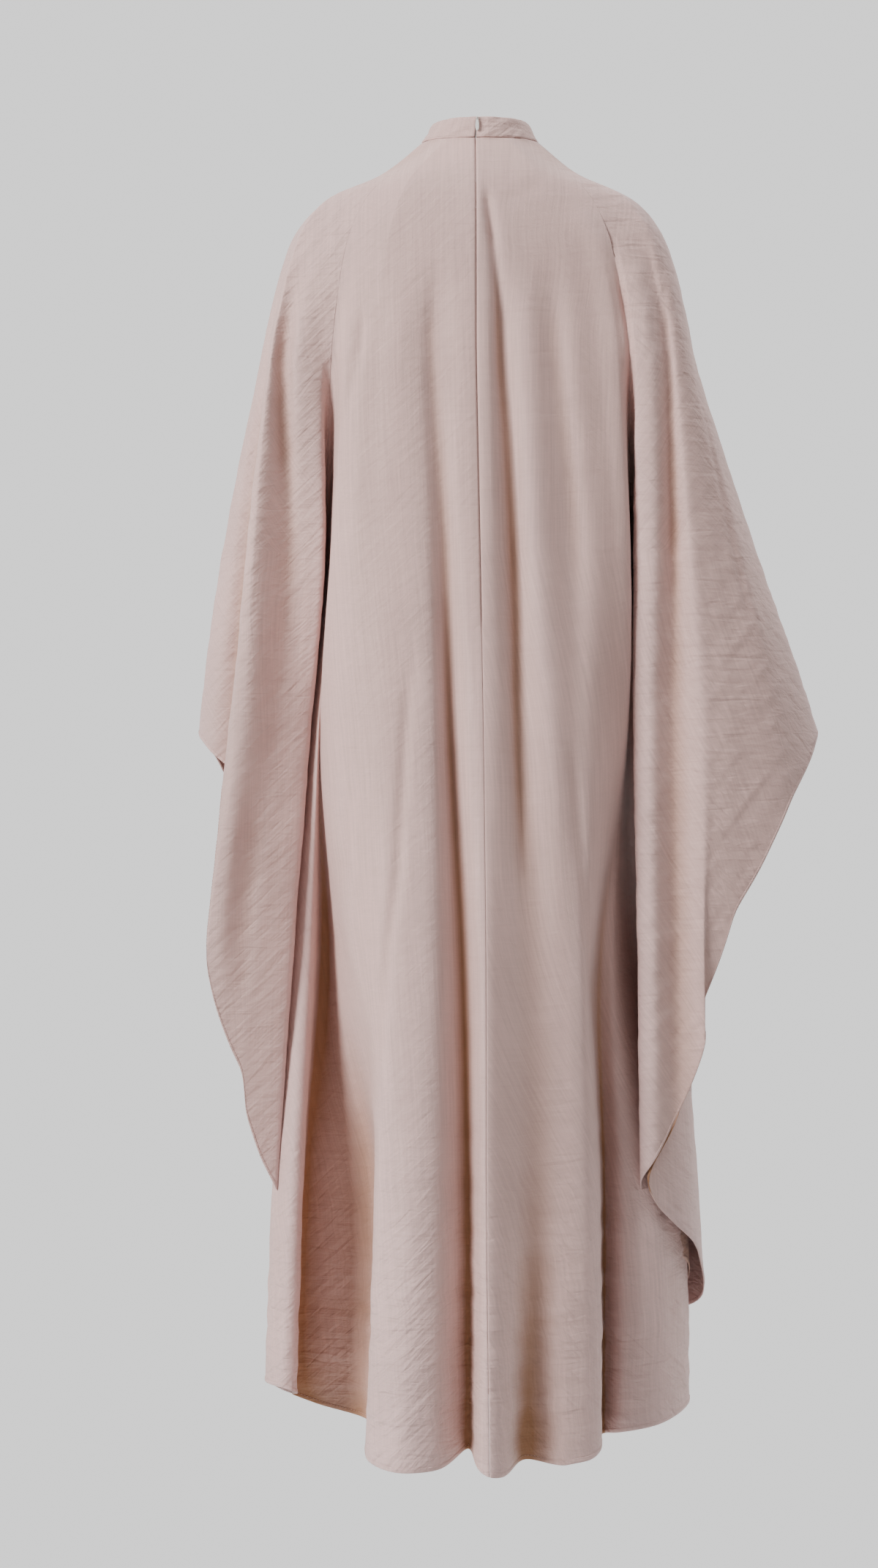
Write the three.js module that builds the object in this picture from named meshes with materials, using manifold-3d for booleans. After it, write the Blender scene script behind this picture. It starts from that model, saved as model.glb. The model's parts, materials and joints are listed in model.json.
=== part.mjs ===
// Butterfly kaftan, filled out as worn: wide sleeves cut in one with the body, a stand collar
// and an invisible zip down the centre back.
// Millimetres, +Z up. The back faces -Y and +X is the wearer's right side.
// The origin is the centre of the neck opening, where the wearer holds the garment up.
import * as THREE from 'three';
import { mergeVertices } from 'three/addons/utils/BufferGeometryUtils.js';
import Module from 'manifold-3d';

// ---------------------------------------------------------------- driving dimensions
const NECK_HEIGHT = 1445;      // centre-back neck seam above the lowest point of the hem
const WALL = 1.6;              // cloth wall
const COLLAR_WALL = 2.2;       // two layers of cloth and an interlining
const SEAM_GAP = 0.3;          // between pieces that are sewn together
const ARM_REACH = 246;         // half width of the garment at chest height
const ZIP_END_HEIGHT = 908;    // lower end of the zip above the hem
const ZIP_TAPE_WIDTH = 9;      // one tape, from the slit to its outer edge
const ZIP_TAPE_WALL = 0.8;
const ZIP_SLIT = 2.2;          // between the two tapes, and between the ends of the collar
const SPLIT_ROW = 7;           // control row at the underarm, where sleeves and body part
const CHEST_ROW = 6;

// Neck seam and collar top: oval rings, highest at the sides and lower in front.
// Angle 0 is the centre back, +90 the left side.
const NECK = { centre: 2.5, halfWidth: 66, back: 62, front: 64, side: 1450, backDrop: 5, frontDrop: 58 };
const COLLAR_TOP = { centre: 3.5, halfWidth: 54, back: 56, front: 53, side: 1471, backDrop: 2, frontDrop: 53 };
const ZIP_ANGLE = 5.6;         // degrees round the neck
const COLLAR_COLUMNS = 30;
const COLLAR_ROWS = [0, 0.5, 1];

// Zip slider and its pull tab, in the plane of the collar. The tab turns about its crossbar,
// which runs through the slider's ring.
const PULL_DROP = 2;           // crossbar below the collar's top edge
const PULL_STAND_OFF = 2.3;    // crossbar in front of the collar
const PULL = { length: 15, topWidth: 3.4, width: 4.8, wall: 1.2, bar: 1, windowWidth: 1.8 };
const PULL_WINDOW = 2.2;       // height of the window below the crossbar
const RING = { inner: 1.15, outer: 1.95, width: 1, segments: 8 };
const SLIDER = { width: 7, depth: 3, height: 10, above: 1.4, neckHeight: 3 };
const COLLAR_CLEARANCE = 0.35;

// Yoke, from the neck seam (reach 0) to chest height (reach 1): how far out and how high the
// cloth lies over the shoulder ridge, down the back and down the front.
const YOKE_ROWS = [
  // ridge reach, ridge height, back reach, back height, front reach, front height
  { ridge: [0.00, 1450], back: [0.00, 1445], front: [0.00, 1392] },
  { ridge: [0.29, 1405], back: [0.28, 1424], front: [0.25, 1377] },
  { ridge: [0.63, 1377], back: [0.52, 1398], front: [0.48, 1357] },
  { ridge: [0.78, 1347], back: [0.70, 1366], front: [0.68, 1331] },
  { ridge: [0.85, 1316], back: [0.83, 1328], front: [0.83, 1298] },
  { ridge: [0.93, 1262], back: [0.93, 1268], front: [0.93, 1254] },
];

// Sections below the yoke. Every fold table has one column for each of them, in this order.
const SECTION_HEIGHTS = { chest: 1200, underarm: 985, tip: 785, knee: 535, calf: 285, hem: 0 };

// Folds of the back panels, from the zip round to the side seam.
// x and y run down the fold at chest, underarm, tip, knee, calf and hem; end is the height of
// the cloth's edge above the lowest point of the hem.
const ZIP_LINE = { x: [-3, 1, 2, 0, 0, 5], y: [-120, -133, -152, -178, -202, -226], end: 2 };
const BACK_LEFT_FOLDS = [
  { name: 'zip_crest_edge', x: [-21, -19, -17, -10, -7, -5], y: [-119, -131, -147, -170, -193, -216], end: 8 },
  { name: 'centre_trough', x: [-47, -36, -33, -20, -11, -13], y: [-114, -121, -130, -140, -144, -148], end: 10 },
  { name: 'main_crest', x: [-80, -84, -74, -78, -76, -86], y: [-119, -132, -151, -176, -199, -213], end: 4 },
  { name: 'main_ridge', x: [-112, -114, -107, -106, -127, -121], y: [-115, -128, -145, -164, -170, -160], end: 7 },
  { name: 'flank', x: [-130, -135, -142, -136, -137, -127], y: [-110, -121, -126, -118, -86, -48], end: 18 },
  { name: 'body_edge', x: [-151, -155, -168, -157, -162, -152], y: [-104, -104, -92, -62, -32, -10], end: 18 },
  { name: 'recess_floor', x: [-160, -160, -170, -173, -185, -188], y: [-99, -78, -55, -27, -8, 4], end: 28 },
  { name: 'pleat_inside', x: [-164, -162, -172, -186, -205, -222], y: [-97, -58, -42, -14, 0, 10], end: 41 },
  { name: 'pleat_edge', x: [-168, -164, -173, -181, -194, -203], y: [-95, -42, -30, -32, -37, -41], end: 58 },
  { name: 'pleat_face', x: [-171, -165, -175, -191, -209, -221], y: [-93, -28, -18, -40, -51, -55], end: 66 },
  { name: 'pleat_side', x: [-174, -166, -178, -200, -223, -237], y: [-90, -14, -6, -24, -22, -20], end: 62 },
];
const BACK_RIGHT_FOLDS = [
  { name: 'zip_crest_side', x: [8, 16, 19, 19, 21, 25], y: [-119, -131, -148, -171, -194, -218], end: 0 },
  { name: 'zip_trough', x: [23, 38, 41, 50, 57, 56], y: [-109, -117, -130, -149, -164, -174], end: 8 },
  { name: 'second_crest', x: [55, 64, 72, 79, 78, 83], y: [-116, -128, -147, -171, -192, -212], end: 3 },
  { name: 'shallow_trough', x: [80, 96, 101, 100, 96, 100], y: [-109, -120, -138, -163, -187, -206], end: 5 },
  { name: 'third_crest', x: [95, 128, 121, 120, 114, 118], y: [-110, -118, -122, -146, -172, -190], end: 6 },
  { name: 'main_edge', x: [125, 148, 135, 134, 130, 130], y: [-99, -101, -92, -118, -142, -158], end: 10 },
  { name: 'inner_corner', x: [146, 157, 146, 141, 137, 136], y: [-97, -86, -52, -62, -64, -64], end: 14 },
  { name: 'panel_near', x: [154, 161, 152, 150, 163, 159], y: [-91, -60, -20, -40, -62, -78], end: 17 },
  { name: 'panel_middle', x: [158, 163, 158, 166, 198, 204], y: [-88, -38, 5, -8, -8, -12], end: 13 },
  { name: 'panel_side', x: [161, 165, 168, 182, 222, 236], y: [-84, -17, 24, 26, 44, 58], end: 22 },
];
// Side seams and the underarm seams of the sleeves, from the underarm down.
const SIDE_LEFT = { x: [-188, -211, -229, -241], y: [26, 34, 42, 50], end: 50 };
const SIDE_RIGHT = { x: [179, 187, 216, 228], y: [44, 60, 92, 108], end: 20 };
const UNDERARM_LEFT = { x: [-196, -223, -240, -254], y: [0, 2, 4, 8], end: 272 };
const UNDERARM_RIGHT = { x: [184, 205, 234, 246], y: [4, 50, 68, 84], end: 128 };
// Creases between body and sleeve above the underarm: chest and underarm only.
const RECESS_BACK_LEFT = { x: [-177, -169], y: [-88, -2.4] };
const RECESS_BACK_RIGHT = { x: [163, 168], y: [-79, -2.2] };
const RECESS_FRONT_LEFT = { x: [-172, -169], y: [74, 2.4] };
const RECESS_FRONT_RIGHT = { x: [165, 168], y: [72, 2.2] };

// Folds of the sleeves, from the underarm out to the wrist; the last two are only a guide
// below the point where the cloth ends.
const SLEEVE_BACK_LEFT = [
  { name: 'inner_wall', x: [-180, -172, -190, -215, -234, -248], y: [-91, -16, -22, -14, -10, -4], end: 274 },
  { name: 'inner_edge', x: [-185, -174, -189, -209, -226, -240], y: [-95, -74, -52, -40, -42, -36], end: 277 },
  { name: 'inner_crest', x: [-201, -183, -202, -217, -235, -248], y: [-100, -88, -66, -54, -50, -44], end: 306 },
  { name: 'sleeve_trough', x: [-216, -205, -217, -248, -268, -276], y: [-80, -58, -42, -50, -44, -40], end: 412 },
  { name: 'outer_crest', x: [-227, -246, -266, -299, -308, -312], y: [-77, -82, -80, -68, -54, -46], end: 520 },
  { name: 'fold_edge', x: [-231, -259, -277, -298, -304, -306], y: [-67, -70, -64, -46, -34, -30], end: 723 },
  { name: 'fold_inside', x: [-235, -257, -268, -292, -300, -304], y: [-53, -47, -40, -30, -22, -18], end: 742 },
  { name: 'tip_flap', x: [-241, -275, -295, -312, -320, -324], y: [-36, -34, -30, -20, -14, -10], end: 764 },
];
const WRIST_LEFT = { x: [-246, -289, -315, -330, -338, -342], y: [0, 0, 0, 0, 0, 0], end: 787 };
const SLEEVE_FRONT_LEFT = [
  { name: 'front_tip', x: [-237, -268, -284, -288, -292, -294], y: [38, 42, 38, 34, 30, 26], end: 735 },
  { name: 'front_outer_crest', x: [-226, -244, -254, -262, -270, -274], y: [62, 70, 64, 50, 40, 36], end: 452 },
  { name: 'front_trough', x: [-210, -214, -228, -244, -264, -272], y: [70, 54, 46, 44, 36, 32], end: 356 },
  { name: 'front_inner_crest', x: [-192, -190, -214, -237, -251, -264], y: [90, 80, 66, 54, 42, 36], end: 316 },
  { name: 'front_inner_edge', x: [-180, -181, -207, -232, -246, -258], y: [84, 60, 46, 38, 31, 28], end: 284 },
  { name: 'front_inner_wall', x: [-176, -175, -203, -229, -244, -257], y: [78, 16, 20, 19, 18, 20], end: 276 },
];
const SLEEVE_BACK_RIGHT = [
  { name: 'inner_wall', x: [164, 171, 178, 204, 237, 246], y: [-83, -16, -14, 10, 4, 10], end: 182 },
  { name: 'inner_turn', x: [165, 173, 174, 192, 220, 232], y: [-87, -46, -40, -46, -48, -42], end: 214 },
  { name: 'inner_edge', x: [167, 174, 175, 175, 175, 180], y: [-91, -74, -66, -86, -94, -96], end: 289 },
  { name: 'inner_crest', x: [187, 189, 180, 183, 184, 186], y: [-98, -88, -80, -97, -105, -108], end: 318 },
  { name: 'sleeve_trough', x: [204, 212, 208, 207, 212, 214], y: [-84, -66, -60, -82, -95, -98], end: 366 },
  { name: 'middle_crest', x: [215, 225, 238, 249, 252, 254], y: [-85, -90, -87, -87, -86, -84], end: 456 },
  { name: 'outer_trough', x: [227, 258, 272, 292, 300, 304], y: [-68, -67, -70, -68, -64, -60], end: 592 },
  { name: 'outer_crest', x: [236, 283, 328, 384, 410, 420], y: [-50, -62, -58, -50, -44, -40], end: 719 },
];
const WRIST_RIGHT = { x: [246, 316, 384, 440, 470, 480], y: [0, 0, 0, 0, 0, 0], end: 787 };
const SLEEVE_FRONT_RIGHT = [
  { name: 'front_inner_wall', x: [168, 176, 192, 216, 243, 254], y: [76, 16, 24, 66, 78, 92], end: 126 },
  { name: 'front_inner_edge', x: [174, 181, 199, 228, 250, 262], y: [82, 58, 50, 60, 54, 58], end: 142 },
  { name: 'wrap_side', x: [188, 190, 206, 234, 246, 268], y: [90, 80, 66, 40, 4, 2], end: 180 },
  { name: 'wrap_shoulder', x: [200, 208, 232, 240, 237, 252], y: [78, 62, 54, 18, -46, -52], end: 222 },
  { name: 'wrap_face', x: [212, 226, 262, 241, 214, 226], y: [68, 64, 56, -2, -79, -86], end: 248 },
  { name: 'wrap_edge', x: [222, 248, 292, 239, 179, 190], y: [58, 60, 52, -20, -104, -108], end: 294 },
  { name: 'wrap_rise', x: [230, 270, 322, 236, 198, 200], y: [46, 52, 44, -36, -98, -100], end: 341 },
  { name: 'wrap_top', x: [238, 286, 326, 234, 224, 226], y: [30, 38, 34, -48, -78, -80], end: 388 },
  { name: 'front_tip', x: [243, 300, 350, 246, 236, 236], y: [14, 20, 18, -52, -60, -60], end: 748 },
];
// Folds of the front of the body, from the left side seam round to the right one.
const FRONT_FOLDS = [
  { name: 'side_wall_left', x: [-167, -170, -195, -217, -226, -234], y: [77, 16, 58, 68, 78, 88], end: 34 },
  { name: 'left_edge', x: [-152, -162, -180, -188, -200, -210], y: [84, 74, 86, 98, 110, 120], end: 18 },
  { name: 'left_trough', x: [-126, -130, -134, -140, -150, -160], y: [91, 90, 88, 92, 98, 104], end: 14 },
  { name: 'left_crest', x: [-98, -100, -104, -112, -124, -136], y: [104, 112, 118, 138, 160, 182], end: 8 },
  { name: 'left_centre_trough', x: [-62, -60, -62, -66, -72, -78], y: [106, 111, 110, 118, 128, 136], end: 12 },
  { name: 'centre_crest', x: [-18, -20, -24, -26, -30, -34], y: [112, 124, 133, 160, 190, 218], end: 4 },
  { name: 'right_centre_trough', x: [24, 26, 26, 28, 32, 36], y: [108, 115, 114, 123, 132, 140], end: 12 },
  { name: 'right_crest', x: [64, 66, 70, 78, 88, 98], y: [107, 118, 126, 150, 178, 205], end: 6 },
  { name: 'right_trough', x: [102, 108, 112, 116, 124, 132], y: [94, 98, 98, 106, 114, 122], end: 12 },
  { name: 'right_edge', x: [140, 154, 166, 170, 180, 194], y: [86, 78, 90, 108, 126, 142], end: 12 },
  { name: 'side_wall_right', x: [160, 171, 184, 186, 206, 220], y: [76, 16, 64, 86, 108, 124], end: 16 },
];

// Mesh density: columns between neighbouring folds, and rows down the cloth.
const COLUMNS_PER_FOLD = 2;
const BODY_ROWS = [7.4, 8, 8.6, 9.2, 9.8, 10.4, 11];
const SLEEVE_STEPS = 6;
const UPPER_ROWS = [0, 1, 2, 3, 4, 5, 6, 6.5, 7];

const CLOTH = { color: 0xbfa89f, roughness: 0.82, metalness: 0 };
const TAPE = { color: 0xa8938a, roughness: 0.85, metalness: 0 };
const METAL = { color: 0xcfd0cc, roughness: 0.35, metalness: 0.6 };

// ---------------------------------------------------------------- curves
// Smooth curve through points at 0, 1, 2, ...: each point's direction is that of the chord
// between its neighbours, so folds turn softly however unevenly they are spaced.
function curveThrough(points, position) {
  const last = points.length - 1;
  const span = Math.min(Math.max(Math.floor(position), 0), last - 1);
  const blend = position - span;
  const start = points[span];
  const finish = points[span + 1];
  const chord = start.distanceTo(finish);
  const leave = directionAt(points, span).multiplyScalar(chord);
  const arrive = directionAt(points, span + 1).multiplyScalar(chord);
  const square = blend * blend;
  const cube = square * blend;
  return new THREE.Vector3()
    .addScaledVector(start, 2 * cube - 3 * square + 1)
    .addScaledVector(leave, cube - 2 * square + blend)
    .addScaledVector(finish, 3 * square - 2 * cube)
    .addScaledVector(arrive, cube - square);
}

function directionAt(points, index) {
  const before = points[Math.max(index - 1, 0)];
  const after = points[Math.min(index + 1, points.length - 1)];
  const reach = before.distanceTo(points[index]) + points[index].distanceTo(after);
  return after.clone().sub(before).divideScalar(Math.max(reach, 1e-6));
}

function ringPoint(ring, degrees) {
  const angle = THREE.MathUtils.degToRad(degrees);
  const forward = Math.cos(angle);
  const depth = forward > 0 ? ring.back : ring.front;
  const drop = forward > 0 ? ring.backDrop : ring.frontDrop;
  const height = ring.side - drop * forward * forward;
  const sideways = ring.centre - ring.halfWidth * Math.sin(angle);
  return new THREE.Vector3(sideways, -depth * forward, height);
}

// ---------------------------------------------------------------- control lines
const heights = Object.values(SECTION_HEIGHTS);

function sectionPoints(fold, firstSection) {
  return fold.x.map((x, i) => new THREE.Vector3(x, fold.y[i], heights[firstSection + i]));
}

// The lines of the whole loop at chest height, from the zip round by the left and the front.
const LOOP = [
  ['zip_left', ZIP_LINE],
  ...BACK_LEFT_FOLDS.map((fold) => [`back_left_${fold.name}`, fold]),
  ['recess_back_left', RECESS_BACK_LEFT],
  ...SLEEVE_BACK_LEFT.map((fold) => [`sleeve_back_left_${fold.name}`, fold]),
  ['wrist_left', WRIST_LEFT],
  ...SLEEVE_FRONT_LEFT.map((fold) => [`sleeve_front_left_${fold.name}`, fold]),
  ['recess_front_left', RECESS_FRONT_LEFT],
  ...FRONT_FOLDS.map((fold) => [`front_${fold.name}`, fold]),
  ['recess_front_right', RECESS_FRONT_RIGHT],
  ...SLEEVE_FRONT_RIGHT.map((fold) => [`sleeve_front_right_${fold.name}`, fold]),
  ['wrist_right', WRIST_RIGHT],
  ...[...SLEEVE_BACK_RIGHT].reverse().map((fold) => [`sleeve_back_right_${fold.name}`, fold]),
  ['recess_back_right', RECESS_BACK_RIGHT],
  ...[...BACK_RIGHT_FOLDS].reverse().map((fold) => [`back_right_${fold.name}`, fold]),
  ['zip_right', ZIP_LINE],
];
const lineIndex = Object.fromEntries(LOOP.map(([name], i) => [name, i]));

// Degrees round the neck seam for each line: in step with its distance round the chest,
// measured within each quarter between the zip, the wrists and the front's middle.
function neckAngles() {
  const chest = LOOP.map(([, fold]) => new THREE.Vector2(fold.x[0], fold.y[0]));
  const stops = [
    ['zip_left', ZIP_ANGLE],
    ['wrist_left', 90],
    ['front_centre_crest', 176],
    ['wrist_right', 270],
    ['zip_right', 360 + ZIP_ANGLE],
  ];
  const angles = [];
  for (let s = 0; s < stops.length - 1; s += 1) {
    const from = lineIndex[stops[s][0]];
    const to = lineIndex[stops[s + 1][0]];
    const travelled = [0];
    for (let i = from + 1; i <= to; i += 1) {
      travelled.push(travelled.at(-1) + chest[i].distanceTo(chest[i - 1]));
    }
    for (let i = from; i <= to; i += 1) {
      const share = travelled[i - from] / travelled.at(-1);
      angles[i] = THREE.MathUtils.lerp(stops[s][1], stops[s + 1][1], share);
    }
  }
  return angles;
}

function yokePoints(degrees, chestPoint) {
  const neck = ringPoint(NECK, degrees);
  const sideways = Math.min(Math.abs(chestPoint.x) / ARM_REACH, 1) ** 2;
  const face = chestPoint.y < 0 ? 'back' : 'front';
  return YOKE_ROWS.map((row) => {
    const reach = THREE.MathUtils.lerp(row[face][0], row.ridge[0], sideways);
    const height = THREE.MathUtils.lerp(row[face][1], row.ridge[1], sideways);
    const point = neck.clone().lerp(chestPoint, reach);
    return new THREE.Vector3(point.x, point.y, reach === 0 ? neck.z : height);
  });
}

const angles = neckAngles();
const upperLines = LOOP.map(([, fold], i) => {
  const sections = sectionPoints(fold, 0);
  return { points: [...yokePoints(angles[i], sections[0]), ...sections], end: fold.end };
});

// Below the underarm the loop parts into the body and two sleeves. A seam line takes the place
// of the crease, starting from the underarm.
function seamLine(seam, recess) {
  const start = new THREE.Vector3(recess.x[1], 0, heights[1]);
  const above = new Array(SPLIT_ROW).fill(start);
  return { points: [...above, start, ...sectionPoints(seam, 2)], end: seam.end };
}

const sideLeft = seamLine(SIDE_LEFT, RECESS_BACK_LEFT);
const sideRight = seamLine(SIDE_RIGHT, RECESS_BACK_RIGHT);
const underarmLeft = seamLine(UNDERARM_LEFT, RECESS_BACK_LEFT);
const underarmRight = seamLine(UNDERARM_RIGHT, RECESS_BACK_RIGHT);

function linesBetween(first, last) {
  return upperLines.slice(lineIndex[first] + 1, lineIndex[last]);
}

const wholeLoop = upperLines;
const bodyLoop = [
  upperLines[lineIndex.zip_left],
  ...linesBetween('zip_left', 'recess_back_left'),
  sideLeft,
  ...linesBetween('recess_front_left', 'recess_front_right'),
  sideRight,
  ...linesBetween('recess_back_right', 'zip_right'),
  upperLines[lineIndex.zip_right],
];
const leftSleeveLoop = [
  underarmLeft,
  ...linesBetween('recess_back_left', 'recess_front_left'),
  underarmLeft,
];
const rightSleeveLoop = [
  underarmRight,
  ...linesBetween('recess_front_right', 'recess_back_right'),
  underarmRight,
];

// ---------------------------------------------------------------- cloth surface
// A point of the cloth: across runs from line to line of a closed loop, down from row to row.
function clothPoint(loop, across, down) {
  const count = loop.length - 1;
  const span = Math.min(Math.max(Math.floor(across), 0), count - 1);
  const around = [];
  for (let k = span - 1; k <= span + 2; k += 1) {
    const index = k < 0 ? k + count : k > count ? k - count : k;
    around.push(curveThrough(loop[index].points, down));
  }
  return curveThrough(around, across - span + 1);
}

const PROBE = 0.02;

function clothFrame(loop, across, down) {
  const lastRow = loop[0].points.length - 1;
  const left = clothPoint(loop, across - PROBE, down);
  const right = clothPoint(loop, across + PROBE, down);
  const above = clothPoint(loop, across, Math.max(down - PROBE, 0));
  const below = clothPoint(loop, across, Math.min(down + PROBE, lastRow));
  const along = right.sub(left).divideScalar(2 * PROBE);
  const normal = along.clone().cross(below.sub(above)).normalize();
  return { point: clothPoint(loop, across, down), along, normal };
}

// The row position of a height below the underarm.
function rowAtHeight(height) {
  for (let section = 1; section < heights.length - 1; section += 1) {
    if (height >= heights[section + 1]) {
      const share = (heights[section] - height) / (heights[section] - heights[section + 1]);
      return CHEST_ROW + section + share;
    }
  }
  return CHEST_ROW + heights.length - 1;
}

// Height of the cloth's edge at a place across a loop.
function edgeHeight(loop, across) {
  const span = Math.min(Math.max(Math.floor(across), 0), loop.length - 2);
  return THREE.MathUtils.lerp(loop[span].end, loop[span + 1].end, across - span);
}

// ---------------------------------------------------------------- panels as solids
class Sheet {
  constructor(wall) {
    this.wall = wall;
    this.outer = [];
    this.inner = [];
    this.faces = [];
  }

  add(point, normal) {
    this.outer.push(point);
    this.inner.push(point.clone().addScaledVector(normal, -this.wall));
    return this.outer.length - 1;
  }

  // Rows of vertex numbers, joined by two triangles in each cell.
  weave(rows) {
    for (let r = 0; r < rows.length - 1; r += 1) {
      for (let c = 0; c < rows[r].length - 1; c += 1) {
        const [a, b] = [rows[r][c], rows[r][c + 1]];
        const [d, e] = [rows[r + 1][c], rows[r + 1][c + 1]];
        this.faces.push([a, b, e], [a, e, d]);
      }
    }
  }

  // Closed solid: the outer faces, the inner faces turned round, and a rim on every open edge.
  geometry() {
    const count = this.outer.length;
    const edges = new Set();
    for (const [a, b, c] of this.faces) {
      [[a, b], [b, c], [c, a]].forEach((edge) => edges.add(edge.join('_')));
    }
    const triangles = [];
    for (const [a, b, c] of this.faces) {
      triangles.push(a, b, c, a + count, c + count, b + count);
      for (const [from, to] of [[a, b], [b, c], [c, a]]) {
        if (!edges.has(`${to}_${from}`)) {
          triangles.push(to, from, from + count, to, from + count, to + count);
        }
      }
    }
    const positions = [...this.outer, ...this.inner];
    const geometry = new THREE.BufferGeometry().setFromPoints(positions);
    geometry.setIndex(triangles);
    return geometry;
  }
}

// Places across a panel, from one line to the next, pulled in by half a seam gap at both ends.
function columnsBetween(first, last) {
  const columns = [];
  for (let line = first; line < last; line += 1) {
    for (let step = 0; step < COLUMNS_PER_FOLD; step += 1) {
      columns.push(line + step / COLUMNS_PER_FOLD);
    }
  }
  columns.push(last);
  return columns;
}

function seamShift(loop, across, down, side) {
  const { along } = clothFrame(loop, across, down);
  return across + side * Math.min(SEAM_GAP / 2 / Math.max(along.length(), 1), 0.2);
}

function addRow(sheet, loop, columns, downOf, openEnds) {
  return columns.map((column, i) => {
    const down = downOf(column);
    let across = column;
    if (openEnds.first && i === 0) {
      across = seamShift(loop, column, down, 1);
    }
    if (openEnds.last && i === columns.length - 1) {
      across = seamShift(loop, column, down, -1);
    }
    const frame = clothFrame(loop, across, down);
    return sheet.add(frame.point, frame.normal);
  });
}

// A panel is the upper cloth plus, below the underarm, its share of the body and the sleeves.
// Each branch names its loop, its first and last line in the whole loop and in its own loop.
function panel(firstName, lastName, branches) {
  const sheet = new Sheet(WALL);
  const first = lineIndex[firstName];
  const last = lineIndex[lastName];
  const columns = columnsBetween(first, last);
  const bothEnds = { first: true, last: true };
  const upper = UPPER_ROWS.map((row) => addRow(sheet, wholeLoop, columns, () => row, bothEnds));
  sheet.weave(upper);
  for (const branch of branches) {
    const from = lineIndex[branch.first];
    const to = lineIndex[branch.last];
    const own = columnsBetween(branch.ownFirst, branch.ownFirst + to - from);
    const start = (from - first) * COLUMNS_PER_FOLD;
    const topRow = upper.at(-1).slice(start, start + own.length);
    const rows = [topRow];
    for (const downOf of branch.rows(branch.loop)) {
      rows.push(addRow(sheet, branch.loop, own, downOf, bothEnds));
    }
    sheet.weave(rows);
  }
  return sheet.geometry();
}

function bodyRows(loop) {
  return BODY_ROWS.map((row) => (across) => {
    const share = (row - SPLIT_ROW) / (BODY_ROWS.at(-1) - SPLIT_ROW);
    return THREE.MathUtils.lerp(row, rowAtHeight(edgeHeight(loop, across)), share ** 4);
  });
}

function sleeveRows(loop) {
  const steps = Array.from({ length: SLEEVE_STEPS }, (_, i) => (i + 1) / SLEEVE_STEPS);
  return steps.map((share) => (across) => {
    const height = THREE.MathUtils.lerp(heights[1], edgeHeight(loop, across), share);
    return rowAtHeight(height);
  });
}

const sideLeftAt = bodyLoop.indexOf(sideLeft);
const sideRightAt = bodyLoop.indexOf(sideRight);
const wristLeftAt = lineIndex.wrist_left - lineIndex.recess_back_left;
const wristRightAt = lineIndex.wrist_right - lineIndex.recess_front_right;

function backLeftPanel() {
  return panel('zip_left', 'wrist_left', [
    { loop: bodyLoop, rows: bodyRows, first: 'zip_left', last: 'recess_back_left', ownFirst: 0 },
    { loop: leftSleeveLoop, rows: sleeveRows, first: 'recess_back_left', last: 'wrist_left', ownFirst: 0 },
  ]);
}

function frontPanel() {
  return panel('wrist_left', 'wrist_right', [
    { loop: leftSleeveLoop, rows: sleeveRows, first: 'wrist_left', last: 'recess_front_left', ownFirst: wristLeftAt },
    { loop: bodyLoop, rows: bodyRows, first: 'recess_front_left', last: 'recess_front_right', ownFirst: sideLeftAt },
    { loop: rightSleeveLoop, rows: sleeveRows, first: 'recess_front_right', last: 'wrist_right', ownFirst: 0 },
  ]);
}

function backRightPanel() {
  return panel('wrist_right', 'zip_right', [
    { loop: rightSleeveLoop, rows: sleeveRows, first: 'wrist_right', last: 'recess_back_right', ownFirst: wristRightAt },
    { loop: bodyLoop, rows: bodyRows, first: 'recess_back_right', last: 'zip_right', ownFirst: sideRightAt },
  ]);
}

// ---------------------------------------------------------------- collar
// A point of the collar's outer side, from the neck seam (rise 0) to the top edge (rise 1).
function collarPoint(degrees, rise) {
  return ringPoint(NECK, degrees).lerp(ringPoint(COLLAR_TOP, degrees), rise);
}

function collarFrame(degrees, rise) {
  const before = collarPoint(degrees - 1, rise);
  const after = collarPoint(degrees + 1, rise);
  const downward = collarPoint(degrees, 0).sub(collarPoint(degrees, 1));
  const normal = after.sub(before).cross(downward).normalize();
  return { point: collarPoint(degrees, rise), normal };
}

// Degrees round the collar at a distance from the zip's middle line.
function collarAngle(distance) {
  return ZIP_ANGLE + THREE.MathUtils.radToDeg(distance / NECK.halfWidth);
}

function collarGeometry() {
  const sheet = new Sheet(COLLAR_WALL);
  const start = collarAngle(ZIP_SLIT / 2);
  const finish = collarAngle(-ZIP_SLIT / 2) + 360;
  const rows = [...COLLAR_ROWS].reverse().map((rise) => {
    const row = [];
    for (let column = 0; column <= COLLAR_COLUMNS; column += 1) {
      const degrees = THREE.MathUtils.lerp(start, finish, column / COLLAR_COLUMNS);
      const frame = collarFrame(degrees, rise);
      frame.point.z += COLLAR_CLEARANCE;
      row.push(sheet.add(frame.point, frame.normal));
    }
    return row;
  });
  sheet.weave(rows);
  return sheet.geometry();
}

// ---------------------------------------------------------------- zip
// Each tape follows the inside of the collar and then of its panel, from the slit outwards.
const TAPE_OFFSETS = [0, 0.5, 1].map((share) => ZIP_SLIT / 2 + share * ZIP_TAPE_WIDTH);
const TAPE_COLLAR_RISES = [0.97, 0.5, 0.15];
const TAPE_SEAM_DEPTH = 2.7;   // behind the neck seam, where collar and panel meet at an angle
const TAPE_PANEL_ROWS = UPPER_ROWS.slice(1);
const TAPE_GAP = 0.6;

function tapeRowOnCollar(sheet, side, rise) {
  return TAPE_OFFSETS.map((offset) => {
    const { point, normal } = collarFrame(collarAngle(side * offset), rise);
    return sheet.add(point.addScaledVector(normal, -COLLAR_WALL - TAPE_GAP), normal);
  });
}

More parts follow.
